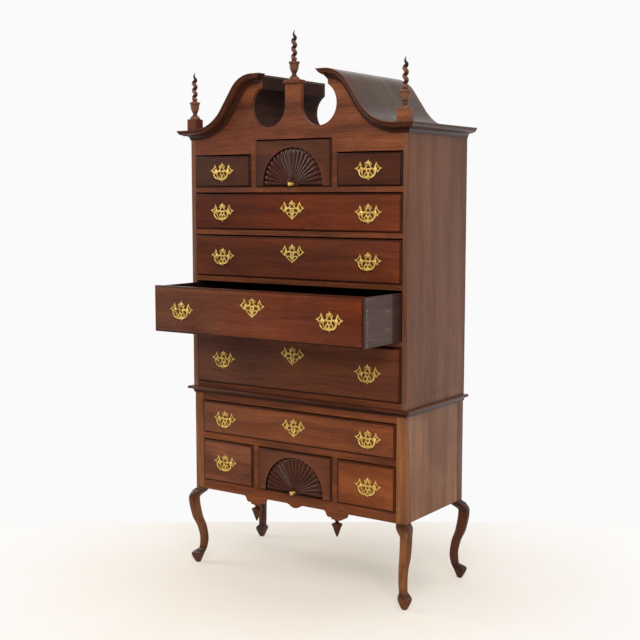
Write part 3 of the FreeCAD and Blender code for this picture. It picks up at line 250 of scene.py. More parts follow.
class Wiring:
    """Places and links the nodes of one tree."""

    def __init__(self, tree: bpy.types.NodeTree) -> None:
        """Start on a tree."""
        self.tree = tree

    def plug(self, node: Node, inputs: dict[Any, Any]) -> None:
        """Link or set inputs of a node.

        Args:
            node: The node.
            inputs: Value or source socket for each input, by name or number.
        """
        for key, value in inputs.items():
            if isinstance(value, NodeSocket):
                self.tree.links.new(value, node.inputs[key])
            else:
                node.inputs[key].default_value = value

    def add(self, kind: str, inputs: dict[Any, Any] | None = None, **settings: Any) -> Node:
        """Add a node.

        Args:
            kind: Type of the node.
            inputs: Value or source socket for each input, by name or number.
            settings: Properties of the node.

        Returns:
            The node.
        """
        node = self.tree.nodes.new(kind)
        for name, value in settings.items():
            setattr(node, name, value)
        self.plug(node, inputs or {})
        return node

    def out(self, kind: str, inputs: dict[Any, Any] | None = None, output: int | str = 0,
            **settings: Any) -> NodeSocket:
        """Add a node and give one of its outputs."""
        return self.add(kind, inputs, **settings).outputs[output]

    def math(self, operation: str, *values: Any) -> NodeSocket:
        """Work out a number with one Math node."""
        return self.out("ShaderNodeMath", dict(enumerate(values)), operation=operation)

    def vector(self, operation: str, *values: Any, output: int | str = 0) -> NodeSocket:
        """Work out a vector, or a number from vectors, with one Vector Math node."""
        return self.out("ShaderNodeVectorMath", dict(enumerate(values)), output,
                        operation=operation)

    def spread(self, value: Any, low: Any, high: float, to_low: float,
               to_high: float) -> NodeSocket:
        """Carry a value from one range to another, held at both ends."""
        return self.out("ShaderNodeMapRange", {"Value": value, "From Min": low, "From Max": high,
                                               "To Min": to_low, "To Max": to_high})

    def noise(self, place: Any, scale: float, detail: float = 2.0, rough: float = 0.5,
              twist: float = 0.0, output: int | str = 0) -> NodeSocket:
        """Add a noise pattern and give its value or its colour."""
        return self.out("ShaderNodeTexNoise", {
            "Vector": place, "Scale": scale, "Detail": detail, "Roughness": rough,
            "Distortion": twist}, output)

    def mix(self, share: Any, first: Any, second: Any, blend: str = "MIX") -> NodeSocket:
        """Mix two colours."""
        return self.out("ShaderNodeMix", {0: share, 6: first, 7: second}, 2, data_type="RGBA",
                        blend_type=blend)

    def blend(self, share: Any, first: Node, second: Node) -> Node:
        """Mix two shaders."""
        return self.add("ShaderNodeMixShader",
                        {0: share, 1: first.outputs[0], 2: second.outputs[0]})

    def mapping(self, place: Any, scale: Sequence[float], location: Sequence[float] = (0, 0, 0),
                tilt: float = 0.0) -> NodeSocket:
        """Stretch and shift the coordinates of a pattern, and tilt them about x."""
        return self.out("ShaderNodeMapping", {
            "Vector": place, "Scale": scale, "Location": location, "Rotation": (tilt, 0, 0)})

    def ramp(self, value: Any, stops: Sequence[tuple[float, Any]]) -> NodeSocket:
        """Colour a value by stops from low to high."""
        node = self.add("ShaderNodeValToRGB", {0: value})
        elements = node.color_ramp.elements
        while len(elements) < len(stops):
            elements.new(0.5)
        for element, (place, colour) in zip(elements, stops):
            element.position = place
            element.color = colour
        return node.outputs[0]

    def place(self) -> NodeSocket:
        """Give the coordinates in the piece's own frame."""
        return self.out("ShaderNodeTexCoord", output="Object")

    def part_of(self, place: Any, axis: int) -> NodeSocket:
        """Give one coordinate of a place."""
        return self.out("ShaderNodeSeparateXYZ", {0: place}, axis)

    def shade_and_wear(self) -> NodeSocket:
        """Give painted shade and edge lightening, from -1 in a shaded hollow to 1 on a worn,
        highlit edge.
        """
        return self.out("ShaderNodeAttribute", output="Fac", attribute_name="shade_and_wear")

    def dimmed(self, colour: Any, share: Any) -> NodeSocket:
        """Multiply a colour by a number."""
        grey = self.out("ShaderNodeCombineColor", {0: share, 1: share, 2: share})
        return self.mix(1.0, colour, grey, "MULTIPLY")

    def sunk(self, colour: Any, share: float, dark: Any) -> NodeSocket:
        """Lead a colour towards a dark one where the shade-and-wear value is below 0, as in
        hollows.
        """
        return self.mix(self.spread(self.shade_and_wear(), -1, 0, share, 0), colour, dark)

    def bump(self, strength: float, distance: float, height: Any) -> NodeSocket:
        """Turn a height into a bent normal."""
        return self.out("ShaderNodeBump", {"Strength": strength, "Distance": distance,
                                           "Height": height})


def new_material(name: str) -> tuple[Material, Wiring, Node]:
    """Make an empty material.

    Args:
        name: Its name.

    Returns:
        The material, its wiring and its surface shader, already linked to the output.
    """
    material = bpy.data.materials.new(name)
    material.use_nodes = True
    material.node_tree.nodes.clear()
    wires = Wiring(material.node_tree)
    shader = wires.add("ShaderNodeBsdfPrincipled")
    wires.add("ShaderNodeOutputMaterial", {"Surface": shader.outputs[0]})
    return material, wires, shader


# ---------------------------------------------------------------------------
# Finishes
# ---------------------------------------------------------------------------

class Finish:
    """A finish, whose material is made when a piece first asks for it."""

    name: str

    def wire(self, wires: Wiring, shader: Node) -> None:
        """Wire the finish to its shader."""
        raise NotImplementedError

    def made(self) -> Material:
        """Give the material of the finish.

        Returns:
            The material.
        """
        if self.name not in bpy.data.materials:
            self.wire(*new_material(self.name)[1:])
        return bpy.data.materials[self.name]


class Grain(Enum):
    """Which way the grain of a finish runs; each value stretches its pattern, per metre."""

    ACROSS = (0.75, 13.0, 13.0)
    DEEP = (13.0, 0.75, 13.0)
    UPRIGHT = (13.0, 13.0, 0.75)
    FOLLOWING = (1.2, 16.0, 1.0)


@dataclass(frozen=True)
class Wood(Finish):
    """Polished wood: long figure, fine grain lines, open pores, old stain, worn edges lightened
    also as painted highlight, and painted shade in hollows.
    """

    name: str
    grain: Grain
    tone: Triple
    far_tone: Triple | None = None
    run: Pair = (-500.0, 500.0)
    axis: int = 0
    ragged: float = 0.16
    stain: Triple = (58, 32, 26)
    stained: float = 0.4
    contrast: float = 1.0
    shift: Triple = (0.0, 0.0, 0.0)
    roughness: float = 0.38
    varnish: float = 0.08
    shine: float = 0.16
    pores: float = 0.35

    def base(self, wires: Wiring, place: Any) -> Any:
        """Give the tone of the board, which may drift along it.

        Args:
            wires: Wiring of the material.
            place: Coordinates in the frame.

        Returns:
            A colour or the socket of one.
        """
        if self.far_tone is None:
            return linear(self.tone)
        patchy = wires.noise(place, 5.5, 3.0, 0.6)
        drift = wires.math("ADD", wires.part_of(place, self.axis),
                           wires.spread(patchy, 0.3, 0.7, -self.ragged, self.ragged))
        share = wires.spread(drift, self.run[0] * MM, self.run[1] * MM, 0, 1)
        return wires.mix(share, linear(self.tone), linear(self.far_tone))

    def pattern(self, wires: Wiring, place: Any, along: float, across: float,
                *settings: float) -> NodeSocket:
        """Give a noise pattern drawn out along the grain.

        Args:
            wires: Wiring of the material.
            place: Coordinates that follow the grain.
            along: How much finer than the figure it is along the grain.
            across: How much finer it is across.
            settings: Detail, roughness and twist of the noise.

        Returns:
            The value of the pattern.
        """
        stretch = [step * (along if step < 5 else across) for step in self.grain.value]
        return wires.noise(wires.mapping(place, stretch, self.shift), 1.0, *settings)

    def wire(self, wires: Wiring, shader: Node) -> None:
        """Wire the finish to its shader.

        Args:
            wires: Wiring of the material.
            shader: Its surface shader.
        """
        body = source = wires.place()
        if self.grain is Grain.FOLLOWING:
            source = wires.out("ShaderNodeUVMap", uv_map="grain")
        drift = wires.noise(source, 1.7, output="Color")
        bent = wires.vector("ADD", source, wires.vector("MULTIPLY", drift, (0.07, 0.07, 0.07)))
        figure = self.pattern(wires, bent, 1.0, 1.0, 5.0, 0.62, 0.5)
        fine = self.pattern(wires, bent, 6.0, 17.0, 3.0, 0.6)
        pore = self.pattern(wires, bent, 40.0, 70.0, 1.0)
        cloud = wires.noise(wires.mapping(body, (1, 1, 1), self.shift), 2.6, 3.0, 0.55)
        low, high = 0.45 * self.contrast, 0.5 * self.contrast
        tint = wires.ramp(figure, [
            (0.30, (1 - low, 1 - 1.1 * low, 1 - low, 1)), (0.50, (1, 1, 1, 1)),
            (0.70, (1 + high, 1 + 1.15 * high, 1 + 0.9 * high, 1))])
        tone = self.base(wires, body)
        colour = wires.mix(1.0, tone, tint, "MULTIPLY")
        colour = wires.mix(wires.spread(cloud, 0.42, 0.68, 0, self.stained), colour,
                           linear(self.stain))
        lines = wires.spread(fine, 0.32, 0.68, 1 - 0.26 * self.contrast,
                             1 + 0.2 * self.contrast)
        flecks = wires.spread(pore, 0.30, 0.42, 1 - self.pores, 1)
        colour = wires.dimmed(colour, wires.math("MULTIPLY", lines, flecks))
        # Edges lightened where the value is above 0: worn edges and painted highlight.
        rubbed_and_highlit = wires.math("MULTIPLY", wires.spread(wires.shade_and_wear(), 0, 1, 0, 0.75),
                            wires.spread(fine, 0.35, 0.6, 0.4, 1))
        colour = wires.mix(rubbed_and_highlit, colour, wires.mix(1.0, tone, (2.1, 2.2, 2.1, 1), "MULTIPLY"))
        # Painted shade: the colour goes nearly black in hollows, creases and shaded places.
        colour = wires.sunk(colour, 0.92,
                            wires.mix(1.0, tone, (0.14, 0.14, 0.18, 1), "MULTIPLY"))
        gloss = wires.math("ADD", wires.spread(cloud, 0.3, 0.7, -0.05, 0.07),
                           wires.spread(figure, 0.3, 0.7, self.roughness + 0.04,
                                        self.roughness - 0.03))
        relief = wires.math("ADD", wires.math("MULTIPLY", fine, 0.4), flecks)
        wires.plug(shader, {"Base Color": colour, "Roughness": gloss,
                            "Normal": wires.bump(0.22, 0.0004, relief),
                            "Specular IOR Level": self.shine, "Coat Weight": self.varnish,
                            "Coat Roughness": 0.2})


@dataclass(frozen=True)
class BoxSideWood(Finish):
    """Worn board of a drawer side: grey where hands reach, scuffed, browner further in, and
    painted dark as shade on its inner face.
    """

    name: str
    front: float
    worn: Triple = (84, 65, 59)
    sound: Triple = (58, 30, 20)
    scuff: Triple = (150, 134, 124)
    # Painted shade: the near-black brown of the inner faces.
    hollow: Triple = (24, 13, 8)
    reach: float = 202.0
    joint: float = 28.0

    def wire(self, wires: Wiring, shader: Node) -> None:
        """Wire the finish to its shader.

        Args:
            wires: Wiring of the material.
            shader: Its surface shader.
        """
        source = wires.place()
        long_grain = wires.noise(wires.mapping(source, (18, 1.1, 18)), 1.0, 5.0, 0.62, 0.4)
        fine = wires.noise(wires.mapping(source, (260, 9, 260)), 1.0)
        slant = wires.mapping(source, (6, 7, 190), tilt=math.radians(-24))
        scuffs = wires.noise(slant, 1.0, 2.0, 0.55)
        cloud = wires.noise(source, 7.0)
        depth = wires.part_of(source, 1)
        edge = (FRONT_Y + self.front + self.reach) * MM
        inner = wires.spread(depth, edge - 0.004, edge + 0.004, 0, 0.85)
        colour = wires.mix(inner, linear(self.worn), linear(self.sound))
        colour = wires.dimmed(colour, wires.math(
            "MULTIPLY", wires.spread(long_grain, 0.3, 0.7, 0.72, 1.22),
            wires.spread(fine, 0.3, 0.7, 0.88, 1.1)))
        marks = wires.math("MULTIPLY", wires.spread(scuffs, 0.58, 0.70, 0, 0.5),
                           wires.spread(cloud, 0.42, 0.62, 0.0, 1))
        marks = wires.math("MULTIPLY", marks, wires.spread(inner, 0, 0.85, 1, 0.1))
        colour = wires.mix(marks, colour, linear(self.scuff))
        joint = (FRONT_Y + self.front + self.joint) * MM
        near = wires.math("ABSOLUTE", wires.math("SUBTRACT", depth, joint))
        chips = wires.noise(wires.mapping(source, (60, 210, 42)), 1.0, 2.0, 0.6)
        chips = wires.math("MULTIPLY", wires.spread(chips, 0.55, 0.62, 0, 0.75),
                           wires.spread(near, 0.002, 0.008, 1, 0))
        colour = wires.mix(chips, colour, linear(self.scuff))
        # Painted shade on the inner faces.
        wires.plug(shader, {"Base Color": wires.sunk(colour, 0.97, linear(self.hollow)),
                            "Normal": wires.bump(0.3, 0.0005, fine),
                            "Roughness": wires.spread(long_grain, 0.3, 0.7, 0.62, 0.5),
                            "Specular IOR Level": 0.3})


@dataclass(frozen=True)
class Brass(Finish):
    """Cast brass: rubbed bright on its tops, browned in its low places."""

    name: str
    bright: Triple
    toned: Triple
    brown: Triple

    def wire(self, wires: Wiring, shader: Node) -> None:
        """Wire the finish to its shader.

        Args:
            wires: Wiring of the material.
            shader: Its surface shader.
        """
        source = wires.place()
        cloud = wires.noise(source, 90.0, 3.0, 0.6)
        colour = wires.ramp(cloud, [(0.32, linear(self.brown)), (0.46, linear(self.toned)),
                                    (0.66, linear(self.bright))])
        relief = wires.math("ADD", cloud, wires.noise(source, 900.0))
        wires.plug(shader, {"Base Color": wires.sunk(colour, 0.8, linear(self.brown)),
                            "Normal": wires.bump(0.35, 0.0003, relief),
                            "Roughness": wires.spread(cloud, 0.3, 0.7, 0.42, 0.24),
                            "Metallic": 0.38})


RAILS = Wood("mahogany_rails", Grain.ACROSS, (108, 57, 31), shift=(3, 5, 1))
GABLE = Wood("mahogany_gable", Grain.ACROSS, (98, 51, 32), (122, 68, 42), (-400, 400),
             shift=(2, 8, 5))
# Side boards: their own colour, made paler and greyer as a painted sheen of the pale room on them.
SIDES_AND_SHEEN = Wood("mahogany_sides_and_sheen", Grain.UPRIGHT, (150, 105, 76), (116, 73, 50), (740, 800), 2, 0.01,
             stain=(98, 64, 48), shift=(7, 2, 4), roughness=0.44, contrast=0.7, shine=0.22)
LEGS = Wood("mahogany_legs", Grain.UPRIGHT, (140, 86, 51), (132, 82, 48), (318, 336), 2, 0.004,
            shift=(1, 9, 3), roughness=0.28, varnish=0.3)
# Painted shade: a darker copy of the leg wood, for the three legs that stand in shade.
SHADED_LEGS = Wood("mahogany_shaded_legs", Grain.UPRIGHT, (106, 62, 38), (118, 72, 44), (318, 336),
                 2, 0.004, shift=(6, 2, 9), roughness=0.3, varnish=0.25)
MOULDINGS = Wood("mahogany_mouldings", Grain.FOLLOWING, (82, 43, 27), roughness=0.3, varnish=0.3)
ROOF = Wood("mahogany_roof", Grain.FOLLOWING, (76, 52, 35), stain=(58, 40, 27), stained=0.5,
            roughness=0.27, varnish=0.2, shine=0.25)
CARVING = Wood("mahogany_carving", Grain.ACROSS, (68, 36, 25), stain=(44, 27, 21), stained=0.6,
               roughness=0.28, varnish=0.3)
TURNING = Wood("mahogany_turning", Grain.UPRIGHT, (112, 71, 50), shift=(4, 4, 8),
               roughness=0.34, varnish=0.12)
# The pins' light tone is their end grain, made lighter as a painted highlight on the joint's
# edges.
PINS = Wood("dovetail_pins", Grain.UPRIGHT, (112, 92, 82), stain=(72, 54, 48), stained=0.8,
            roughness=0.6, varnish=0.0)
# Painted shade: the bonnet's lining is painted near-black brown, as it lies in shade.
SHADED_HOOD = Wood("mahogany_shaded_hood", Grain.DEEP, (58, 32, 24), stain=(40, 23, 18), stained=0.6,
            roughness=0.75, varnish=0.0)
# Painted shade: boards inside the case and the drawers are painted near-black brown for the shade
# they lie in.
SHADED_INNER = Wood("shaded_inner_boards", Grain.ACROSS, (36, 22, 15), stain=(28, 17, 12), roughness=0.7,
             varnish=0.0, pores=0.2, contrast=0.6)
BACKING = Wood("back_boards", Grain.UPRIGHT, (88, 62, 44), stain=(60, 43, 33), roughness=0.7,
               varnish=0.0, pores=0.25, contrast=0.8)
BRASS = Brass("aged_brass", (254, 226, 134), (234, 192, 94), (140, 98, 40))


# ---------------------------------------------------------------------------
# Meshes
# ---------------------------------------------------------------------------

def link(name: str, data: Any) -> Object:
    """Put data into the scene as an object, and give the object."""
    thing = bpy.data.objects.new(name, data)
    bpy.context.scene.collection.objects.link(thing)
    return thing


def to_mesh(form: bmesh.types.BMesh, name: str) -> Mesh:
    """Turn a form into a mesh.

    Args:
        form: The form, which is freed.
        name: Name of the mesh.

    Returns:
        The mesh.
    """
    mesh = bpy.data.meshes.new(name)
    form.to_mesh(mesh)
    form.free()
    return mesh


def evaluated(holder: Object) -> Mesh:
    """Give the mesh that an object comes to, and remove the object."""
    view = bpy.context.evaluated_depsgraph_get()
    mesh = bpy.data.meshes.new_from_object(holder.evaluated_get(view))
    bpy.data.objects.remove(holder)
    return mesh


def settle(mesh: Mesh, node: str, finishes: Sequence[Finish], body: str = "root",
           slot: str = "case_wood", sharp: float = 38) -> None:
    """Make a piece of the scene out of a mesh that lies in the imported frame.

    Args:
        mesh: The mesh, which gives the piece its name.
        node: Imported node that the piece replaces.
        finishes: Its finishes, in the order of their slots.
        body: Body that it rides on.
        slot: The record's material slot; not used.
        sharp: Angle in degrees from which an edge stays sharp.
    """
    for finish in finishes:
        mesh.materials.append(finish.made())
    mesh.shade_smooth()
    mesh.set_sharp_from_angle(angle=math.radians(sharp))
    piece = link(mesh.name, mesh)
    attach(piece, body)
    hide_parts(node)
    LOG.info("%s: %d faces on %s", piece.name, len(mesh.polygons), body)


class Draft:
    """A piece while it is being drawn, in millimetres."""

    def __init__(self) -> None:
        """Start an empty piece with its two layers: the run of the grain, and painted shade and
        edge lightening.
        """
        self.form = bmesh.new()
        self.grain = self.form.loops.layers.uv.new("grain")
        self.shade_and_wear = self.form.verts.layers.float.new("shade_and_wear")

    def skin(self, rows: Sequence[Sequence[Vector]], shade_and_wear: Sequence[float] = (),
             caps: tuple[bool, bool] = (True, True), slot: int = 0,
             row_shade_and_wear: Sequence[float] = (), slots: Sequence[int] = ()) -> None:
        """Lay faces over rows of points; a row of one point is a pole.

        Args:
            rows: Rows of equally many points, or of one.
            shade_and_wear: Painted shade and edge lightening of each column, from -1 in a shaded
                hollow to 1 on a worn, highlit edge.
            caps: Whether a face closes the first row, and the last.
            slot: Material slot of the faces.
            row_shade_and_wear: Painted shade and edge lightening of each row, where it is the same
                all along the row.
            slots: Material slot of each column, where they differ.
        """
        made = [[self.form.verts.new(place) for place in row] for row in rows]
        for index, row in enumerate(made):
            for column, vertex in enumerate(row):
                if row_shade_and_wear:
                    vertex[self.shade_and_wear] = row_shade_and_wear[index]
                elif len(shade_and_wear) == len(row):
                    vertex[self.shade_and_wear] = shade_and_wear[column]
        along = 0.0
        for index in range(len(rows) - 1):
            near, far = rows[index], rows[index + 1]
            reach = (sum(far, Vector()) / len(far) - sum(near, Vector()) / len(near)).length
            wide = near if len(near) > 1 else far
            around = 0.0
            for column in range(len(wide)):
                after = (column + 1) % len(wide)
                width = (wide[after] - wide[column]).length
                corners: dict[Any, Pair] = {}
                for row, place, run, across in (
                        (index, column, along, around), (index, after, along, around + width),
                        (index + 1, after, along + reach, around + width),
                        (index + 1, column, along + reach, around)):
                    vertex = made[row][place if len(made[row]) > 1 else 0]
                    corners.setdefault(vertex, (run * MM, across * MM))
                face = self.form.faces.new(list(corners))
                face.material_index = slots[column] if slots else slot
                for loop in face.loops:
                    loop[self.grain].uv = corners[loop.vert]
                around += width
            along += reach
        for row, wanted in zip((made[0], made[-1]), caps):
            if wanted and len(row) > 2:
                self.form.faces.new(row).material_index = slot

    def turn(self, profile: Sequence[Pair], centre: Vector, axis: Vector = Vector((0, 0, 1)),
             sides: int = 40, hollow: bool = False) -> None:
        """Turn a profile round an axis, with painted shade in its hollows and a faint painted
        highlight on its swells.

        Args:
            profile: (radius, distance along the axis) pairs from end to end.
            centre: Place of distance 0.
            axis: Direction of the axis.
            sides: Number of sides.
            hollow: The profile is a closed ring that stays clear of the axis.
        """
        across = axis.orthogonal().normalized()
        other = axis.cross(across)
        radii = [radius for radius, _ in profile]
        last = len(radii) - 1
        shade_and_wear, rows = [], []
        for index, (radius, along) in enumerate(profile):
            # Painted shade in the hollows of the profile, and a faint lightening on its swells as
            # worn and painted highlight.
            mean = (radii[max(index - 2, 0)] + radii[min(index + 2, last)]) / 2
            shade_and_wear.append(min(max((radius - mean) * 0.4, -0.85), 0.3))
            ring = [centre + axis * along + across * (radius * math.cos(angle))
                    + other * (radius * math.sin(angle)) for angle in turns(sides)]
            rows.append(ring if radius > 0 else ring[:1])
        if hollow:
            rows.append(rows[0])
            shade_and_wear.append(shade_and_wear[0])
        self.skin(rows, caps=(not hollow, not hollow), row_shade_and_wear=shade_and_wear)

    def board(self, low: Sequence[float], high: Sequence[float], edge: float = 0.8,
              slot: int = 0, shade_and_wear: Callable[[Vector], float] | None = None) -> None:
        """Add a sawn board with softened edges.

        Args:
            low: Lowest corner.
            high: Highest corner.
            edge: Width of the softened edges.
            slot: Material slot of the faces.
            shade_and_wear: Gives the painted shade and edge lightening of a place on the board.
        """
        size = Vector(high) - Vector(low)
        place = Matrix.Translation((Vector(high) + Vector(low)) / 2) @ Matrix.Diagonal((*size, 1))
        cube = bmesh.ops.create_cube(self.form, size=1, matrix=place)
        edges = {side for vertex in cube["verts"] for side in vertex.link_edges}
        made = bmesh.ops.bevel(self.form, geom=list(edges), offset=edge, segments=2,
                               affect="EDGES", profile=0.5)
        for vertex in made["verts"]:
            vertex[self.shade_and_wear] = shade_and_wear(vertex.co) if shade_and_wear else 0.0
            for face in vertex.link_faces:
                face.material_index = slot

    def take(self, mesh: Mesh, place: Vector, slot: int = 0) -> None:
        """Add a finished mesh.

        Args:
            mesh: Mesh in millimetres.
            place: Where it goes.
            slot: Material slot of its faces.
        """
        before = set(self.form.faces)
        copy = mesh.copy()
        copy.transform(Matrix.Translation(place))
        self.form.from_mesh(copy)
        bpy.data.meshes.remove(copy)
        for face in set(self.form.faces) - before:
            face.material_index = slot

    def finish(self, name: str, node: str, *finishes: Finish, **wanted: Any) -> None:
        """Turn the draft into a piece of the scene, with its place in its mesh.

        Args:
            name: Name of the piece.
            node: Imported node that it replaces.
            finishes: Its finishes, in the order of their slots.
            wanted: Body, material slot and sharp angle, where settle() is told of them.
        """
        bmesh.ops.remove_doubles(self.form, verts=self.form.verts, dist=0.01)
        bmesh.ops.recalc_face_normals(self.form, faces=self.form.faces)
        self.form.transform(TO_FRAME)
        settle(to_mesh(self.form, name), node, finishes, **wanted)


def fretted(outlines: Sequence[Sequence[Pair]], thick: float, edge: float,
            grow: float = 0.0) -> Mesh:
    """Saw a flat piece with piercings out of a plate.

    Args:
        outlines: Closed outlines in x and z: the piece, then its piercings.
        thick: Thickness, from the face at y = 0 towards the back.
        edge: Width of the softened edges.
        grow: Distance by which the metal reaches past each of the lines.

    Returns:
        A mesh in millimetres.
    """
    curve = bpy.data.curves.new("fret", "CURVE")
    curve.dimensions = "2D"
    curve.fill_mode = "BOTH"
    curve.extrude = thick / 2 - edge
    curve.bevel_depth = edge
    curve.bevel_resolution = 1
    curve.offset = grow - edge
    for outline in outlines:
        spline = curve.splines.new("POLY")
        spline.points.add(len(outline) - 1)
        spline.points.foreach_set("co", [value for x, z in outline for value in (x, z, 0, 1)])
        spline.use_cyclic_u = True
    mesh = evaluated(link("fret", curve))
    bpy.data.curves.remove(curve)
    mesh.transform(Matrix.Translation((0, thick / 2, 0)) @ Matrix.Rotation(math.pi / 2, 4, "X"))
    return mesh


class Growth:
    """A Geometry Nodes tree with named sizes, run once to give a plain mesh."""

    def __init__(self, name: str, sizes: dict[str, float | int]) -> None:
        """Start a tree with a geometry socket and one input for each size.

        Args:
            name: Name of the tree.
            sizes: Value of each named input; whole numbers make whole-number inputs.
        """
        self.tree = bpy.data.node_groups.new(name, "GeometryNodeTree")
        self.sizes = sizes
        self.wires = Wiring(self.tree)
        self.keys = {}
        self.socket("Geometry", "Geometry")
        for label, value in sizes.items():
            self.socket(label, "Int" if isinstance(value, int) else "Float")
        self.socket("Finish", "Material")
        self.socket("Geometry", "Geometry", "OUTPUT")
        self.inlet = self.tree.nodes.new("NodeGroupInput").outputs

    def socket(self, label: str, kind: str, way: str = "INPUT") -> None:
        """Give the tree an input or an output, and note its identifier."""
        made = self.tree.interface.new_socket(label, in_out=way, socket_type="NodeSocket" + kind)
        self.keys[label] = made.identifier

    def run(self, geometry: NodeSocket, seed: Mesh, finish: Finish = TURNING) -> Mesh:
        """End the tree and run it on a mesh.

        Args:
            geometry: Socket of the grown geometry.
            seed: Mesh that the tree starts from.
            finish: Finish of the result.

        Returns:
            The grown mesh, with nothing left of the modifier.
        """
        real = self.wires.out("GeometryNodeRealizeInstances", {"Geometry": geometry})
        dressed = self.wires.out("GeometryNodeSetMaterial",
                                 {"Geometry": real, "Material": self.inlet["Finish"]})
        self.wires.add("NodeGroupOutput", {0: dressed})
        holder = link("seed", seed)
        modifier = holder.modifiers.new("growth", "NODES")
        modifier.node_group = self.tree
        for label, value in {**self.sizes, "Finish": finish.made()}.items():
            modifier[self.keys[label]] = value
        return evaluated(holder)


# ---------------------------------------------------------------------------
# Studio
# ---------------------------------------------------------------------------

@dataclass
class Studio:
    """Pale floor, pale surround, soft lamps and the camera."""

    spot: Triple = (2.6291, -3.7514, 1.5605)
    turn: float = 0.6015
    tilt: float = -0.1072
    lens: float = 64.4
    wall_distance: float = 5.39
    wall: Triple = (251, 250, 250)
    ground: Triple = (253, 251, 249)
    shaded_near_ground: Triple = (252, 241, 226)
    ambient: float = 0.45
    own_light: Pair = (0.35, 1.0)
    lamps: tuple[tuple[str, Triple, Triple, float, float], ...] = (
        ("key_softbox", (2.6, -3.6, 3.6), (0.0, 0.0, 1.0), 3.0, 165),
        ("left_softbox", (-4.4, -1.7, 3.2), (0.0, 0.0, 1.1), 2.4, 90),
        ("top_softbox", (0.4, 0.6, 4.6), (0.0, 0.0, 1.0), 2.4, 36))

    def build(self) -> None:
        """Set up everything around the object."""
        bpy.context.scene.view_settings.view_transform = "Standard"
        self.camera()
        self.world()
        self.floor()
        for sizes in self.lamps:
            self.lamp(*sizes)

    def camera(self) -> None:
        """Place the camera."""
        lens = bpy.data.cameras.new("camera")
        lens.lens = self.lens
        lens.sensor_width = 36
        camera = link("camera", lens)
        camera.location = self.spot
        camera.rotation_euler = (math.pi / 2 + self.tilt, 0, self.turn)
        bpy.context.scene.camera = camera

    def ahead(self) -> Vector:
        """Give the level direction in which the camera looks."""
        return Vector((-math.sin(self.turn), math.cos(self.turn), 0))

    def world(self) -> None:
        """Light from all sides, with a bright wall behind and a dim room in front."""
        world = bpy.data.worlds.new("studio")
        world.use_nodes = True
        world.node_tree.nodes.clear()
        bpy.context.scene.world = world
        wires = Wiring(world.node_tree)
        way = wires.out("ShaderNodeTexCoord", output="Generated")
        facing = wires.vector("DOT_PRODUCT", way, self.ahead(), output="Value")
        room = wires.math("MULTIPLY", wires.spread(facing, -0.2, 0.6, 0.04, 0.95),
                          wires.spread(wires.part_of(way, 2), 0.3, 0.62, 1, 0.3))
        path = wires.add("ShaderNodeLightPath").outputs
        mirror = wires.math("MAXIMUM", path["Is Glossy Ray"], path["Is Transmission Ray"])
        strength = wires.out("ShaderNodeMix", {0: mirror, 2: self.ambient, 3: room})
        around = wires.add("ShaderNodeBackground", {"Color": (1, 1, 1, 1), "Strength": strength})
        seen = wires.add("ShaderNodeBackground", {"Color": linear(self.wall), "Strength": 1.0})
        both = wires.blend(path["Is Camera Ray"], around, seen)
        wires.add("ShaderNodeOutputWorld", {"Surface": both.outputs[0]})

    def floor(self) -> None:
        """Lay a pale floor that turns into the wall's colour at the foot of the wall, painted
        darker and warmer near the object.
        """
        material, wires, shader = new_material("studio_floor")
        place = wires.place()
        along = wires.vector("DOT_PRODUCT", place, self.ahead(), output="Value")
        foot = Vector(self.spot).dot(self.ahead()) + self.wall_distance
        beyond = wires.spread(along, foot - 0.006, foot + 0.006, 0, 1)
        away = wires.vector("LENGTH", place, output="Value")
        patch = wires.spread(wires.noise(place, 3.0, 3.0), 0.3, 0.7, -0.12, 0.12)
        # Painted shade and painted warm reflected light: the floor is tinted darker and warmer
        # near the object.
        tint = wires.mix(wires.spread(wires.math("ADD", away, patch), 0.35, 1.45, 0, 1),
                         linear(self.shaded_near_ground), linear(self.ground))
        wires.plug(shader, {"Base Color": tint, "Roughness": 0.7, "Specular IOR Level": 0.2})
        path = wires.add("ShaderNodeLightPath").outputs
        camera, mirror = path["Is Camera Ray"], path["Is Glossy Ray"]
        glow, flat, dim = [
            wires.add("ShaderNodeEmission", {"Color": colour, "Strength": strength})
            for colour, strength in ((linear(self.wall), 1.0), (tint, 1.0),
                                     (tint, wires.spread(along, -0.4, 1.2, 0.06, 0.8)))]
        own = wires.spread(away, 0.3, 1.4, *self.own_light)
        near = wires.blend(wires.math("MULTIPLY", camera, own), shader, flat)
        lower = wires.blend(mirror, near, dim)
        seen = wires.math("MAXIMUM", camera, mirror)
        both = wires.blend(wires.math("MULTIPLY", beyond, seen), lower, glow)
        wires.add("ShaderNodeOutputMaterial", {"Surface": both.outputs[0]},
                  is_active_output=True)
        form = bmesh.new()
        bmesh.ops.create_circle(form, cap_ends=True, radius=30, segments=64)
        floor = link("floor", to_mesh(form, "floor"))
        floor.data.materials.append(material)
        floor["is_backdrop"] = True

    def lamp(self, name: str, spot: Sequence[float], target: Sequence[float], size: float,
             power: float) -> None:
        """Hang a soft lamp.

        Args:
            name: Its name.
            spot: Where it hangs, in metres.
            target: What it points at.
            size: Side of its square face.
            power: Its power in watts.
        """
        light = bpy.data.lights.new(name, "AREA")
        light.size = size
        light.energy = power
        lamp = link(name, light)
        lamp.location = spot
        lamp.rotation_euler = (Vector(target) - Vector(spot)).to_track_quat("-Z", "Y").to_euler()


# ---------------------------------------------------------------------------
# Lower case
# ---------------------------------------------------------------------------

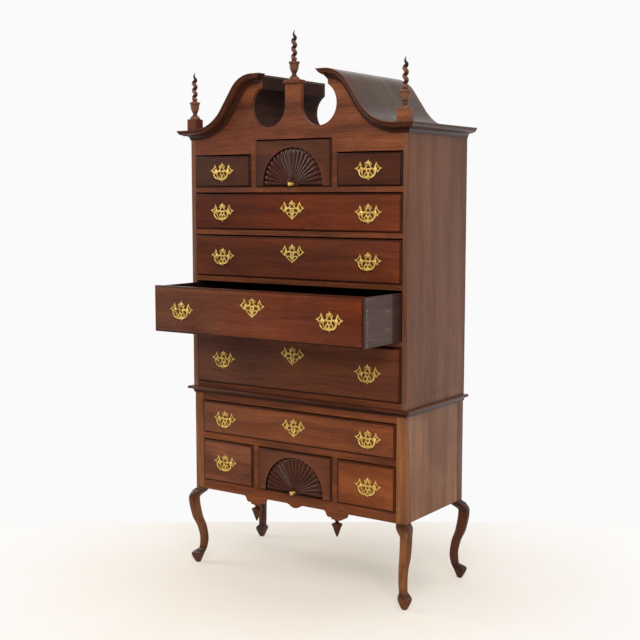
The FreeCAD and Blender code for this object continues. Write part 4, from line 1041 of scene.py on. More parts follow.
@dataclass
class Legs:
    """Four cabriole legs, each in one piece with its corner post."""

    face_x: float = 515
    face_y: float = 5
    post: float = 43
    top: float = 768
    height: float = 330
    middle_y: float = 233.5
    # Painted shade on each leg: below the foot's height, under the case, and in a band round the
    # ankle.
    foot: Pair = (54, 0.45)
    case_shade: float = 72
    ankle_shade: Triple = (52, 0.9, 34)
    stations: tuple[tuple[float, float, float, float], ...] = (
        (0.955, 14, -37, 7), (0.86, 28, -14, 14), (0.62, 17.5, -21.5, 12), (0.47, 1, -33, 10),
        (0.315, -6.5, -37.5, 9), (0.2, -4.5, -33, 8), (0.118, 18.5, -23, 2.4), (0.0, 5, -11, 2.4))

    def rows(self) -> list[list[Vector]]:
        """Give the sections of the front right leg, from the top of its post down.

        Returns:
            Rings of points round each section.
        """
        heights = [self.height] + [self.height * row[0] for row in self.stations]
        outer, inner, rounding = [
            eased(heights, [first] + [row[column] for row in self.stations], 9)
            for column, first in enumerate((0.0, -self.post, 3.0), 1)]
        levels = [(self.top, 0.0, -self.post, 1.2), (self.height + 1.6, 0.0, -self.post, 1.2),
                  (self.height + 0.6, -1.2, -self.post + 1.2, 2.2)]
        levels += [(level, out, back, edge[0]) for (out, level), (back, _), edge
                   in zip(outer, inner, rounding)]
        _, out, back, edge = levels.pop()
        levels += [(1.5, out, back, edge), (0.0, out - 1.5, back + 1.5, 2.0)]
        return [self.section(*level) for level in levels]

    def section(self, level: float, outer: float, inner: float, edge: float) -> list[Vector]:
        """Give one square section with rounded corners.

        Args:
            level: Its height.
            outer: Reach of its outer edges from the faces of the case.
            inner: Reach of its inner edges.
            edge: Radius of its corners.

        Returns:
            The ring of its points.
        """
        edge = min(edge, (outer - inner) * 0.49)
        far, near = outer - edge, inner + edge
        corners = ((far, far, 0), (near, far, 90), (near, near, 180), (far, near, 270))
        return [Vector((self.face_x + along, self.face_y - deep, level))
                for out_x, out_y, start in corners
                for along, deep in arc((out_x, out_y), edge, start, start + 90, 6)]

    def shade(self, level: float) -> float:
        """Give the painted shade of a level: dark under the case, where its shadow falls, and
        round the foot.
        """
        if level > self.height:
            return 0.0
        top, dark = self.foot
        middle, darkest, fade = self.ankle_shade
        return -max(dark if level < top else 0.0, 1.0 - (self.height - level) / self.case_shade,
                    darkest - abs(level - middle) / fade)

    def build(self) -> None:
        """Make the four legs."""
        rows = self.rows()
        for name, side, rear in (("front_left", -1, False), ("front_right", 1, False),
                                 ("rear_left", -1, True), ("rear_right", 1, True)):
            draft = Draft()
            draft.skin([[Vector((side * spot.x, 2 * self.middle_y - spot.y if rear else spot.y,
                                 spot.z)) for spot in row] for row in rows],
                       row_shade_and_wear=[self.shade(row[0].z) for row in rows])
            # The front right leg takes the lit leg wood, the others its painted-shade copy.
            draft.finish("cabriole_leg_" + name, "leg_" + name,
                         LEGS if name == "front_right" else SHADED_LEGS)


@dataclass
class Apron:
    """Shaped apron board under the lower drawers, with its two turned drops."""

    half: float = 472
    low: float = 330
    high: float = 370
    front: float = 5
    thick: float = 20
    lobe: float = 46
    lobe_drop: float = 15
    drop_x: float = 199
    block: Pair = (60, 24)
    step: float = 33
    foot: Pair = (22, 7)
    drop: tuple[Pair, ...] = (
        (0, 0), (12, 0), (12.6, -1.2), (12, -2.6), (8, -4.4), (6.6, -7), (6.6, -9.5),
        (8.6, -11.6), (13, -14.2), (19, -17), (21.6, -18.6), (22, -20.4), (21, -22.6),
        (19.4, -23.4), (18.6, -24.6), (19.2, -25.6), (18, -27.2), (14.4, -37), (10.6, -48),
        (6.6, -59), (3.2, -67), (1.6, -69.4), (0, -70))

    def outline(self) -> list[Pair]:
        """Give the outline of the board.

        Returns:
            Its points, from the middle of the lobe round to the upper edge.
        """
        edge = self.low - 0.45 * self.lobe_drop
        wide, deep = self.block
        ledge = self.low - deep
        base = ledge - self.foot[1]
        curve = 0.62 * deep
        mid = (wide - self.step) / 2
        lobe_low = (0.5 * self.lobe, edge)
        half = bend((-lobe_low[0], edge), lobe_low, 0.8 * self.lobe, 1, 12)[5:]
        half += bend(lobe_low, (self.lobe, self.low), 0.8 * self.lobe, -1)
        centre = self.drop_x
        start = (centre - wide, self.low)
        halfway = (centre - wide + mid, self.low - deep / 2)
        half += [start] + bend(start, halfway, curve, -1)
        half += bend(halfway, (centre - self.step, ledge), curve, 1)
        half += [(centre + side * self.foot[0], level) for side, level
                 in ((-1, ledge), (-1, base), (1, base), (1, ledge))]
        foot = (centre + self.step, ledge)
        halfway = (centre + wide - mid, self.low - deep / 2)
        half += [foot] + bend(foot, halfway, curve, 1)
        half += bend(halfway, (centre + wide, self.low), curve, -1)
        half += [(self.half, self.low), (self.half, self.high)]
        return mirrored([point for point in half if point[0] >= 0])

    def build(self) -> None:
        """Make the board and the drops."""
        draft = Draft()
        draft.take(fretted([self.outline()], self.thick, 0.6), Vector((0, self.front, 0)))
        draft.finish("apron_board", "apron", RAILS, sharp=20)
        draft = Draft()
        for side in (-1, 1):
            draft.turn(self.drop, Vector((side * self.drop_x, self.front + self.thick / 2,
                                          self.low - self.block[1] - self.foot[1])))
        draft.finish("turned_drops", "apron_drops", MOULDINGS, sharp=30)


# ---------------------------------------------------------------------------
# Mouldings and bonnet
# ---------------------------------------------------------------------------

@dataclass
class WaistMoulding:
    """Half-round nose over a cove, round three sides where the cases meet."""

    half: float = 515
    front: float = 5
    back: float = 462
    top: float = 768
    nose: float = 6
    cove: float = 11
    lip: float = 4
    reach: float = 24

    def section(self) -> Section:
        """Give the section as (down, out, painted shade and edge lightening) corners."""
        # Painted shade in the cove; the nose and the lip are lightened as worn and painted
        # highlight.
        shelf = 2 * self.nose + self.cove
        return ([(0.0, 0.0, 0.0)]
                + rounded((self.nose, self.reach - self.nose), self.nose, -90, 90, 0.1)
                + rounded((shelf, self.lip + self.cove), self.cove, -90, -180, -0.55)
                + [(shelf + self.lip, self.lip, 0.2), (shelf + self.lip, 0.0, 0.0)])

    def build(self) -> None:
        """Make the three lengths, mitred at the front corners."""
        section = self.section()
        shade_and_wear = [corner[2] for corner in section]
        right, left = [[Vector((side * (self.half + out), self.front - out, self.top - down))
                        for down, out, _ in section] for side in (1, -1)]
        draft = Draft()
        draft.skin([left, right], shade_and_wear)
        for mitre in (right, left):
            draft.skin([mitre, [Vector((spot.x, self.back, spot.z)) for spot in mitre]], shade_and_wear)
        draft.finish("waist_moulding_lengths", "waist_moulding", MOULDINGS, sharp=30)


@dataclass
class Bonnet:
    """Swan-neck mouldings, side cornices, bent hood roofs and their linings."""

    half: float = 518
    depth: float = 462
    cornice_top: float = 1830
    reach: float = 42
    fillet: float = 6
    ovolo: float = 12
    cove: float = 14
    quirk: float = 3
    top_bend: Triple = (172, 1919, 122)
    foot_bend: Triple = (475, 2008, 178)
    tip_x: float = 133
    inner_x: float = 163
    roof: float = 8
    lining: float = 6
    hole: Triple = (120, 1915, 83)
    plinth: Pair = (37, 1997)
    board_foot: tuple[Pair, ...] = ((496, 1822), (496, 1730), (182, 1730), (182, 1785))
    board_back: float = 20
    panel_front: float = 450
    steps: int = 26

    def section(self) -> Section:
        """Give the cornice section as (down, out, painted shade and edge lightening) corners.

        Returns:
            The corners from the top down.
        """
        # Painted shade in the quirks and the cove; the top edge and the step are lightened as worn
        # and painted highlight.
        shelf = self.fillet + self.ovolo + self.quirk
        inner = self.reach - self.quirk - self.ovolo
        depth = shelf + self.cove + self.quirk
        return ([(0.0, 0.0, 0.0), (0.0, self.reach, 0.3), (self.fillet - 1.4, self.reach, 0.0),
                 (self.fillet, self.reach, -0.95)]
                + rounded((self.fillet, inner), self.ovolo, 0, 90, 0.05)
                + [(shelf - self.quirk, inner - self.quirk, -0.95),
                   (shelf, inner - self.quirk, 0.3)]
                + rounded((shelf + self.cove, self.quirk + self.cove), self.cove, -90, -180,
                          -0.55)
                + [(depth, self.quirk, 0.25), (depth, 0.0, 0.0)])

    @cached_property
    def tilt(self) -> float:
        """Give the angle in degrees at which the round bend meets the slope."""
        run = self.foot_bend[0] - self.top_bend[0]
        fall = self.foot_bend[1] - self.top_bend[1]
        radii = self.top_bend[2] + self.foot_bend[2]
        return math.degrees(math.acos(radii / math.hypot(run, fall)) + math.atan2(fall, run))

    @cached_property
    def peak(self) -> float:
        """Give the height of the horn."""
        return self.top_bend[1] + self.top_bend[2]

    def line(self, down: float) -> list[Pair]:
        """Give the swan-neck line from the horn to the foot of the lower bend.

        Args:
            down: Distance under the outer face of the hood.

        Returns:
            (x, z) points.
        """
        upper = arc(self.top_bend[:2], self.top_bend[2] - down, 90, self.tilt, self.steps)
        return upper + arc(self.foot_bend[:2], self.foot_bend[2] + down, 180 + self.tilt, 270,
                           self.steps)

    def cut(self, lining: float, steps: int, first: float = -90) -> list[Pair]:
        """Give the edge of the round cut-out, up to the straight edge over it.

        Args:
            lining: Distance outside the cut-out.
            steps: Number of chords.
            first: Angle at which it starts.

        Returns:
            (x, z) points.
        """
        radius = self.hole[2] + lining
        end = math.degrees(math.acos((self.inner_x + lining - self.hole[0]) / radius))
        return arc(self.hole[:2], radius, first, end + (360 if first > 0 else 0), steps)

    def mouldings(self, side: int) -> Draft:
        """Draw the swan-neck moulding and the cornice length of one side.

        Args:
            side: 1 for the right side and -1 for the left.

        Returns:
            The draft.
        """
        section = self.section()
        slant = (self.inner_x - self.tip_x) / section[-1][0]
        lines = [self.line(down) for down, _, _ in section]
        rows = [[(self.tip_x + slant * down, -out, self.peak - down) for down, out, _ in section]]
        rows += [[(line[step][0], -out, line[step][1]) for line, (_, out, _) in
                  zip(lines, section)] for step in range(len(lines[0]))]
        mitre = [(self.half + out, -out, self.cornice_top - down) for down, out, _ in section]
        end = [(x, self.depth, z) for x, _, z in mitre]
        draft = Draft()
        for length in (rows + [mitre], [mitre, end]):
            draft.skin([[Vector((side * x, y, z)) for x, y, z in row] for row in length],
                       [corner[2] for corner in section])
        return draft

    def hood(self, side: int) -> Draft:
        """Draw the bent roof and the lining of one side.

        Args:
            side: 1 for the right side and -1 for the left.

        Returns:
            The draft; its roof has slot 0 and its lining slot 1.
        """
        under = self.peak - self.roof
        outer = [(self.inner_x, self.peak)] + self.line(0) + [(self.half, self.cornice_top)]
        inner = ([(self.inner_x, under)] + self.line(self.roof)
                 + [(self.half, self.cornice_top - self.roof)])
        near = self.cut(0, 24) + [(self.inner_x, under)]
        far = self.cut(self.lining, 24) + [(self.inner_x + self.lining, under)]
        draft = Draft()
        for slot, (one, two), front, back in (
                (0, (outer, inner), 0, self.depth),
                (1, (near, far), self.board_back, self.panel_front)):
            draft.skin([[Vector((side * x, y, z)) for x, y, z in (
                (out[0], front, out[1]), (out[0], back, out[1]),
                (low[0], back, low[1]), (low[0], front, low[1]))]
                for out, low in zip(one, two)], slot=slot)
        return draft

    def board(self) -> list[Pair]:
        """Give the outline of the pediment board."""
        half = [self.plinth] + self.cut(0, 48, 180) + [(self.inner_x, self.peak - self.roof)]
        half += self.line(self.roof) + list(self.board_foot)
        return half + [(-x, z) for x, z in reversed(half)]

    def build(self) -> None:
        """Make both sides and the board between them."""
        for side, word in ((1, "right"), (-1, "left")):
            self.mouldings(side).finish("swan_neck_" + word, "cornice_" + word, MOULDINGS,
                                        sharp=30)
            self.hood(side).finish("hood_" + word, "bonnet_" + word, ROOF, SHADED_HOOD)
        draft = Draft()
        draft.take(fretted([self.board()], self.board_back, 0.5), Vector())
        draft.finish("pediment_front", "pediment_board", GABLE, sharp=20)


@dataclass
class Finials:
    """Three finials, each a turned urn under a corkscrew, on their square blocks."""

    places: tuple[Triple, ...] = ((-500, 5, 1877), (0, 10, 2010), (500, 5, 1877))
    height: float = 188.8
    twist_start: float = 77
    pitch: float = 29
    offset: float = 4.3
    thick: float = 7.9
    taper: float = 0.74
    tip: float = 0.12
    blocks: tuple[tuple[Triple, Triple, float], ...] = (
        ((-523, -18, 1830), (-477, 28, 1877), 1.4), ((477, -18, 1830), (523, 28, 1877), 1.4),
        ((-41, -13, 1997), (41, 33, 2002), 1.2), ((-38.5, -10.5, 2001.5), (38.5, 30.5, 2010), 2.4))
    urn: tuple[Pair, ...] = (
        (0, 0), (22.3, 0), (22.5, 2.4), (21.8, 4.6), (20.2, 5.6), (19.6, 7.4), (17.4, 10.2),
        (13.8, 13.4), (10.6, 16.2), (9.0, 19), (8.7, 21.4), (9.8, 23), (9.8, 24.6), (9.2, 25.8),
        (10.6, 28.6), (13.2, 33), (15.6, 39), (17.2, 46), (18.1, 53), (18.5, 59.6), (19.2, 61.4),
        (21.2, 62.8), (22, 64.8), (22, 66.8), (20.8, 68.6), (18.4, 69.6), (13.6, 70.8),
        (9.6, 72.6), (8.4, 74.8), (9.2, 76.8), (11.2, 78.6), (11.9, 80.8), (11.4, 83.0),
        (9.6, 84.6), (0, 85.6))

    def strand(self) -> Mesh:
        """Grow the corkscrew.

        Returns:
            Its mesh in millimetres, standing on the height of its start.
        """
        rise = self.height - self.twist_start
        growth = Growth("corkscrew", {"Height": rise, "Turns": rise / self.pitch,
                                      "Offset": self.offset, "Thickness": self.thick,
                                      "Taper start": self.taper, "Sides": 24})
        wires, inlet = growth.wires, growth.inlet
        spiral = wires.out("GeometryNodeCurveSpiral", {
            "Resolution": 30, "Rotations": inlet["Turns"], "Start Radius": 1.0,
            "End Radius": 1.0, "Height": inlet["Height"]})
        share = wires.out("GeometryNodeSplineParameter")
        kept = wires.spread(share, inlet["Taper start"], 1.0, 1.0, self.tip)
        out = wires.math("MULTIPLY", inlet["Offset"], kept)
        scale = wires.out("ShaderNodeCombineXYZ", {0: out, 1: out, 2: 1.0})
        moved = wires.vector("MULTIPLY", wires.out("GeometryNodeInputPosition"), scale)
        line = wires.out("GeometryNodeSetPosition", {"Geometry": spiral, "Position": moved})
        ring = wires.out("GeometryNodeCurvePrimitiveCircle", {
            "Resolution": inlet["Sides"], "Radius": inlet["Thickness"]})
        rope = wires.out("GeometryNodeCurveToMesh", {
            "Curve": line, "Profile Curve": ring, "Scale": kept, "Fill Caps": True})
        # Painted shade in the hollows between the turns; the outer face is lightened as worn and
        # painted highlight.
        level = wires.vector("MULTIPLY", wires.out("GeometryNodeInputPosition"), (1, 1, 0))
        away = wires.vector("LENGTH", level, output="Value")
        store = wires.out("GeometryNodeStoreNamedAttribute", {
            "Geometry": rope, "Name": "shade_and_wear", "Value": wires.spread(away, 7.5, 12.2, -1.1, 0.4)})
        return growth.run(store, bpy.data.meshes.new("strand"))

    def build(self) -> None:
        """Make the three finials and the blocks that they stand on."""
        strand = self.strand()
        draft = Draft()
        for place in self.places:
            draft.turn(self.urn, Vector(place))
            draft.take(strand, Vector(place) + Vector((0, 0, self.twist_start)))
        draft.finish("corkscrew_finials", "finials", TURNING)
        draft = Draft()
        for low, high, edge in self.blocks:
            draft.board(low, high, edge)
        draft.finish("finial_blocks", "plinth_blocks", GABLE, sharp=20)


# ---------------------------------------------------------------------------
# Drawers and brasses
# ---------------------------------------------------------------------------

class Kind(Enum):
    """Kind of a drawer, by its front."""

    LONG = "two handles and a lock"
    SMALL = "one handle"
    SHELL = "carved fan and a knob"


@dataclass
class BrassWork:
    """Patterns of the brasses: back plate, escutcheon, posts, bail, knob and lock."""

    thick: float = 1.8
    spread: float = 29.5
    pivot: float = 9
    front_thick: float = 22
    plate_half: Outline = (
        (0, 35, 1), (2.3, 30.4), (3.4, 27.6), (9.6, 25.6), (16.6, 18.0, 1), (13.2, 15.4),
        (9.6, 13.2, 1), (14.6, 6.6), (21.4, 3.0), (27.4, 8.2), (31.2, 17.4), (36, 27.4, 1),
        (39.6, 17.2), (45.2, 9.8), (52, 6.6), (60, 3.8, 1), (52, -0.8), (46.2, -4.6),
        (42.6, -12.6, 1), (37, -9.8), (31.6, -9.4), (28.6, -14.2), (26, -20.4), (22.4, -26.4),
        (16.4, -31.4), (9.4, -34.2), (3.6, -36.6), (0, -42, 1))
    shield_half: Outline = (
        (0, 31.5, 1), (2.3, 27), (3.4, 24.4), (9.4, 22.4), (16.2, 15.4, 1), (13, 12.8),
        (9.6, 11, 1), (14, 5.4), (20.6, 2.2), (26.4, 7.4), (31.2, 16.4), (37, 25.4, 1),
        (40.2, 16), (45, 9), (51, 4.4), (57.4, 0, 1), (51, -4), (45.4, -7.6),
        (37.4, -16.8, 1), (33.6, -14.2), (30.2, -15), (26.4, -21), (20, -27.6), (13, -33.4),
        (5.4, -39.4), (0, -45, 1))
    plate_holes: tuple[Outline, ...] = (
        ((8.2, 22.8), (12.4, 19.2), (10.8, 16.2), (7.4, 16.8), (5.4, 19.8)),
        ((36.2, 19.5, 1), (39.2, 11.6), (44.4, 6.4), (50.6, 3.4, 1), (45.2, -0.4),
         (41.8, -6.6, 1), (38, -4.6), (37, 0.4), (35.8, 5.6), (33.2, 9.4)),
        ((10.2, -1.3, 1), (17, -1.4), (22.6, -4.6, 1), (25.2, -13.2), (22.8, -19.8),
         (19.4, -24.8), (14.8, -28.6), (9, -31, 1), (14, -27.4), (17.2, -22.4),
         (16.8, -17.2), (13.4, -13.2, 1), (9.8, -9.6, 1), (9.6, -5)),
        ((8.4, -14.8), (12.8, -17), (13.6, -21.6), (9.8, -25.6), (5, -24.6), (3.2, -20.2),
         (4.8, -16.4)))
    middle_holes: tuple[Outline, ...] = (
        ((0, 19.5, 1), (4.6, 12.8), (11, 4.8, 1), (0, 3.2), (-11, 4.8, 1), (-4.6, 12.8)),
        ((0, -1.6), (4.4, -3.6), (5.4, -8), (2.6, -11.6), (-2.6, -11.6), (-5.4, -8),
         (-4.4, -3.6)),
        ((0, -29.2), (2.4, -31.6), (0, -34), (-2.4, -31.6)))
    shield_holes: tuple[Outline, ...] = (
        ((8, 20), (12, 16.4), (10.4, 13.8), (7, 14.4), (5.2, 17.2)),
        ((36.8, 18, 1), (40, 10), (44.6, 4.6), (49.4, 0.4, 1), (44.6, -3.2), (38.6, -10, 1),
         (36, -4.4), (34.6, 2), (32.8, 8)),
        ((10.8, -2.2, 1), (18.6, -2.8), (26.6, -5.2, 1), (28.6, -10.6, 1), (25.4, -16.6, 1),
         (19.4, -14.4), (13.6, -15.6), (9.4, -18.6, 1), (9, -12), (9.4, -7)),
        ((22.6, -20.6, 1), (17.5, -25.6), (11, -30.9), (6.4, -33.8, 1), (5.8, -28),
         (7.2, -22.6, 1), (12.4, -19), (17.6, -18)))
    shield_middle: tuple[Outline, ...] = (
        ((0, 17, 1), (4.4, 10.4), (10.4, 3, 1), (0, 1.4), (-10.4, 3, 1), (-4.4, 10.4)),
        ((0, -28.4), (2.8, -31.8), (0, -36.4), (-2.8, -31.8)))
    keyhole: tuple[float, float, float, float] = (-6.5, 3.2, 1.7, -19.5)
    bail_line: tuple[Triple, ...] = (
        (27.3, 0, 1.35), (33.2, 0, 1.35), (33.9, 0, 1.6), (34.9, -0.3, 2.0), (35.5, -1.6, 2.1),
        (36, -5, 2.15), (36.2, -9.6, 2.25), (34.9, -15.6, 2.35), (31.4, -21.8, 2.5),
        (25.6, -27, 2.6), (18, -30.4, 2.5), (10, -31.9, 2.2), (6, -32.3, 2.3), (4.6, -32.4, 3.0),
        (3, -32.4, 2.6), (1.6, -32.4, 3.0), (0, -32.4, 3.1))
    stem: tuple[Pair, ...] = (
        (0, 1.4), (5.6, 1.4), (5.8, 2.2), (5.0, 2.8), (4.4, 3.0), (3.4, 3.6), (2.4, 4.6),
        (2.2, 5.6), (2.6, 6.6), (0, 7.0))
    eye: tuple[Pair, ...] = (
        (1.5, -2.3), (2.7, -2.6), (3.1, -2.0), (3.1, 2.0), (2.7, 2.6), (1.5, 2.3))
    nut: tuple[Triple, Triple] = ((-5, 0, -5), (5, 4, 5))
    lock: tuple[tuple[Triple, Triple, float], ...] = (
        ((-32, 0, -27), (32, 9, 15), 0.8), ((-9, 2, 14), (9, 7, 19), 0.6))
    screw_places: tuple[Triple, ...] = (
        (-26, 8.8, -22), (-26, 8.8, 10), (26, 8.8, -22), (26, 8.8, 10))
    screw: tuple[Pair, ...] = ((0, 0), (3, 0), (2.6, 0.9), (0, 1.2))
    knob: tuple[Pair, ...] = (
        (0, -4), (5.4, -4), (5.4, -0.8), (5.0, 0.8), (3.4, 2.2), (2.6, 3.8), (2.6, 5.2),
        (3.6, 6.6), (5.8, 8.6), (7.4, 11), (8, 13.8), (7.7, 16.4), (6.6, 18.8), (4.6, 20.6),
        (2.2, 21.7), (0, 22))

    def sawn(self, half: Outline, holes: Sequence[Outline],
             middle: Sequence[Sequence[Pair]]) -> Mesh:
        """Saw a pierced plate.

        Args:
            half: Right half of the outline.
            holes: Piercings of the right half.
            middle: Piercings on the middle line, as they are cut.

        Returns:
            Its mesh in millimetres.
        """
        lines = [flowing(mirrored(half))]
        for hole in holes:
            lines.append(flowing(hole))
            lines.append([(-x, z) for x, z in lines[-1]])
        return fretted(lines + list(middle), self.thick, 0.38, 0.2)

    @cached_property
    def plate(self) -> Mesh:
        """Saw one back plate."""
        return self.sawn(self.plate_half, self.plate_holes,
                         [flowing(hole) for hole in self.middle_holes])

    @cached_property
    def shield(self) -> Mesh:
        """Saw one escutcheon."""
        middle = [flowing(hole) for hole in self.shield_middle]
        return self.sawn(self.shield_half, self.shield_holes, middle + [self.key_outline()])

    def key_reach(self, angle: float) -> float:
        """Give the distance from the eye of the keyhole to its edge in one direction.

        Args:
            angle: The direction.

        Returns:
            The distance.
        """
        top, eye, half, foot = self.keyhole
        lean = abs(math.cos(angle))
        if math.sin(angle) >= 0 or lean * eye > half:
            return eye
        return min(half / max(lean, 1e-6), (top - foot) / -math.sin(angle))

    def key_outline(self, grow: float = 0.3) -> list[Pair]:
        """Give the keyhole as points about the middle of its escutcheon."""
        reaches = [(angle, self.key_reach(angle) + grow) for angle in turns(64, 0.5)]
        return [(reach * math.cos(angle), self.keyhole[0] + reach * math.sin(angle))
                for angle, reach in reaches]

    def add_handle(self, draft: Draft, centre: Vector) -> None:
        """Add a back plate with its posts, shanks and nuts.

        Args:
            draft: Where to add them.
            centre: Middle of the pins' line, on the face of the drawer.
        """
        draft.take(self.plate, centre + FORWARD * self.thick)
        for side in (-1, 1):
            place = centre + Vector((side * self.spread, 0, 0))
            draft.turn(self.stem, place, FORWARD, 24)
            draft.turn(self.eye, place + FORWARD * self.pivot, Vector((1, 0, 0)), 24, True)
            back = place - FORWARD * self.front_thick
            draft.board(*[back + Vector(corner) for corner in self.nut], 0.7)

    def add_lock(self, draft: Draft, centre: Vector) -> None:
        """Add an escutcheon and the lock behind the front.

        Args:
            draft: Where to add them.
            centre: Middle of the escutcheon, on the face of the drawer.
        """
        draft.take(self.shield, centre + FORWARD * self.thick)
        back = centre - FORWARD * self.front_thick
        for low, high, edge in self.lock:
            draft.board(back + Vector(low), back + Vector(high), edge)
        for place in self.screw_places:
            draft.turn(self.screw, back + Vector(place), -FORWARD, 16)

    def bail(self, centre: Vector) -> Draft:
        """Draw a hanging bail.

        Args:
            centre: Middle of the pins' line.

        Returns:
            The draft.
        """
        line = list(self.bail_line)
        line += [(-x, z, half) for x, z, half in reversed(line[:-1])]
        spots = [Vector((x, 0, z)) for x, z, _ in line]
        rows = []
        for index, (spot, (_, _, half)) in enumerate(zip(spots, line)):
            run = spots[min(index + 1, len(spots) - 1)] - spots[max(index - 1, 0)]
            side = run.normalized().cross(FORWARD)
            rows.append([centre + spot + side * (half * math.cos(angle))
                         + FORWARD * (half * math.sin(angle)) for angle in turns(16)])
        draft = Draft()
        draft.skin(rows)
        return draft


@dataclass
class FanCarving:
    """Fan of rounded rays round a hub, sunk into a drawer front."""

    rays: int = 20
    radius: float = 142
    hub: float = 27
    rise: float = 9
    sill: float = 3.6
    floor: float = 8.4
    hub_profile: tuple[Pair, ...] = (
        (0, 2.6), (9, 2.6), (12.5, 2.2), (15, 1.6), (17, 2.0), (18, 3.6), (19.4, 3.4), (21, 2.0),
        (23.4, 1.3), (25.6, 1.9), (27, 3.4), (27.6, 5.4))

    @property
    def lean(self) -> float:
        """Give the angle by which the lowest rays fall under the level, in radians."""
        return math.asin((self.rise - self.sill) / self.radius)

    def reach(self, angle: float) -> float:
        """Give the distance from the hub's centre to the edge of the recess."""
        fall = -math.sin(angle)
        return min(self.radius, (self.rise - self.sill) / fall) if fall > 1e-6 else self.radius

    def ray(self) -> Mesh:
        """Draw one ray along x, in millimetres; its surface is sunk along y.

        Returns:
            The mesh, with its grooves painted dark as shade and its crests lightened as worn and
            painted highlight.
        """
        half = (math.pi + 2 * self.lean) / self.rays / 2
        start, end, turn = self.hub - 1.0, self.radius - 1.2, self.radius - 22
        radii = [start + (turn - start) * step / 9 for step in range(10)]
        radii += [turn + (end - turn) * math.sin(math.pi / 2 * step / 9)
                  for step in range(1, 10)]
        form = bmesh.new()
        shade_and_wear = form.verts.layers.float.new("shade_and_wear")
        rows = []
        for radius in radii:
            past = max(0.0, (radius - turn) / (end - turn))
            falling = 1 - math.sqrt(max(0.0, 1 - past * past))
            share = (radius - start) / (end - start)
            groove = 4.6 + 3.4 * min(1.0, share * 1.5)
            crest = 3.4 - 1.8 * min(1.0, share * 1.25)
            crest += (groove - crest) * falling
            wide = half * (1.0 if past < 0.35 else math.sqrt(
                max(0.0, 1 - ((past - 0.35) / 0.65) ** 2)) * 0.97 + 0.03)
            row = []
            for step in range(-6, 7):
                part = math.sin(math.pi / 2 * step / 6)
                bulge = math.sqrt(max(0.0, 1 - part * part))
                vertex = form.verts.new((radius * math.cos(wide * part),
                                         groove + (crest - groove) * bulge,
                                         radius * math.sin(wide * part)))
                # Painted shade in the grooves; the crests are lightened as worn and painted
                # highlight.
                vertex[shade_and_wear] = (bulge - 0.7) * (1.45 if bulge < 0.7 else 1.2)
                row.append(vertex)
            rows.append(row)
        for near, far in zip(rows, rows[1:]):
            for column in range(len(near) - 1):
                form.faces.new((near[column], far[column], far[column + 1], near[column + 1]))
        return to_mesh(form, "ray")

    @cached_property
    def carved(self) -> Mesh:
        """Repeat the ray round the hub.

        Returns:
            The mesh of all rays about the hub's centre.
        """
        step = (math.pi + 2 * self.lean) / self.rays
        growth = Growth("fan_rays", {"Rays": self.rays, "Step": step,
                                     "First": step / 2 - self.lean})
        wires, inlet = growth.wires, growth.inlet
        spots = wires.out("GeometryNodePoints", {"Count": inlet["Rays"]})
        angle = wires.math("MULTIPLY_ADD", wires.out("GeometryNodeInputIndex"), inlet["Step"],
                           inlet["First"])
        turn = wires.out("ShaderNodeCombineXYZ", {1: wires.math("MULTIPLY", angle, -1.0)})
        rays = wires.out("GeometryNodeInstanceOnPoints", {
            "Points": spots, "Instance": inlet["Geometry"], "Rotation": turn})
        return growth.run(rays, self.ray(), CARVING)

    def hub_rows(self, centre: Vector) -> list[list[Vector]]:
        """Give the rings of the hub.

        Args:
            centre: Its centre on the face of the front.

        Returns:
            The rings, of which the first is one point.
        """
        floor = centre.z - self.rise + self.sill + 0.2
        rows = [[Vector((centre.x + radius * math.cos(angle), centre.y + depth,
                         max(centre.z + radius * math.sin(angle), floor)))
                 for angle in turns(64)] for radius, depth in self.hub_profile]
        return [rows[0][:1]] + rows[1:]


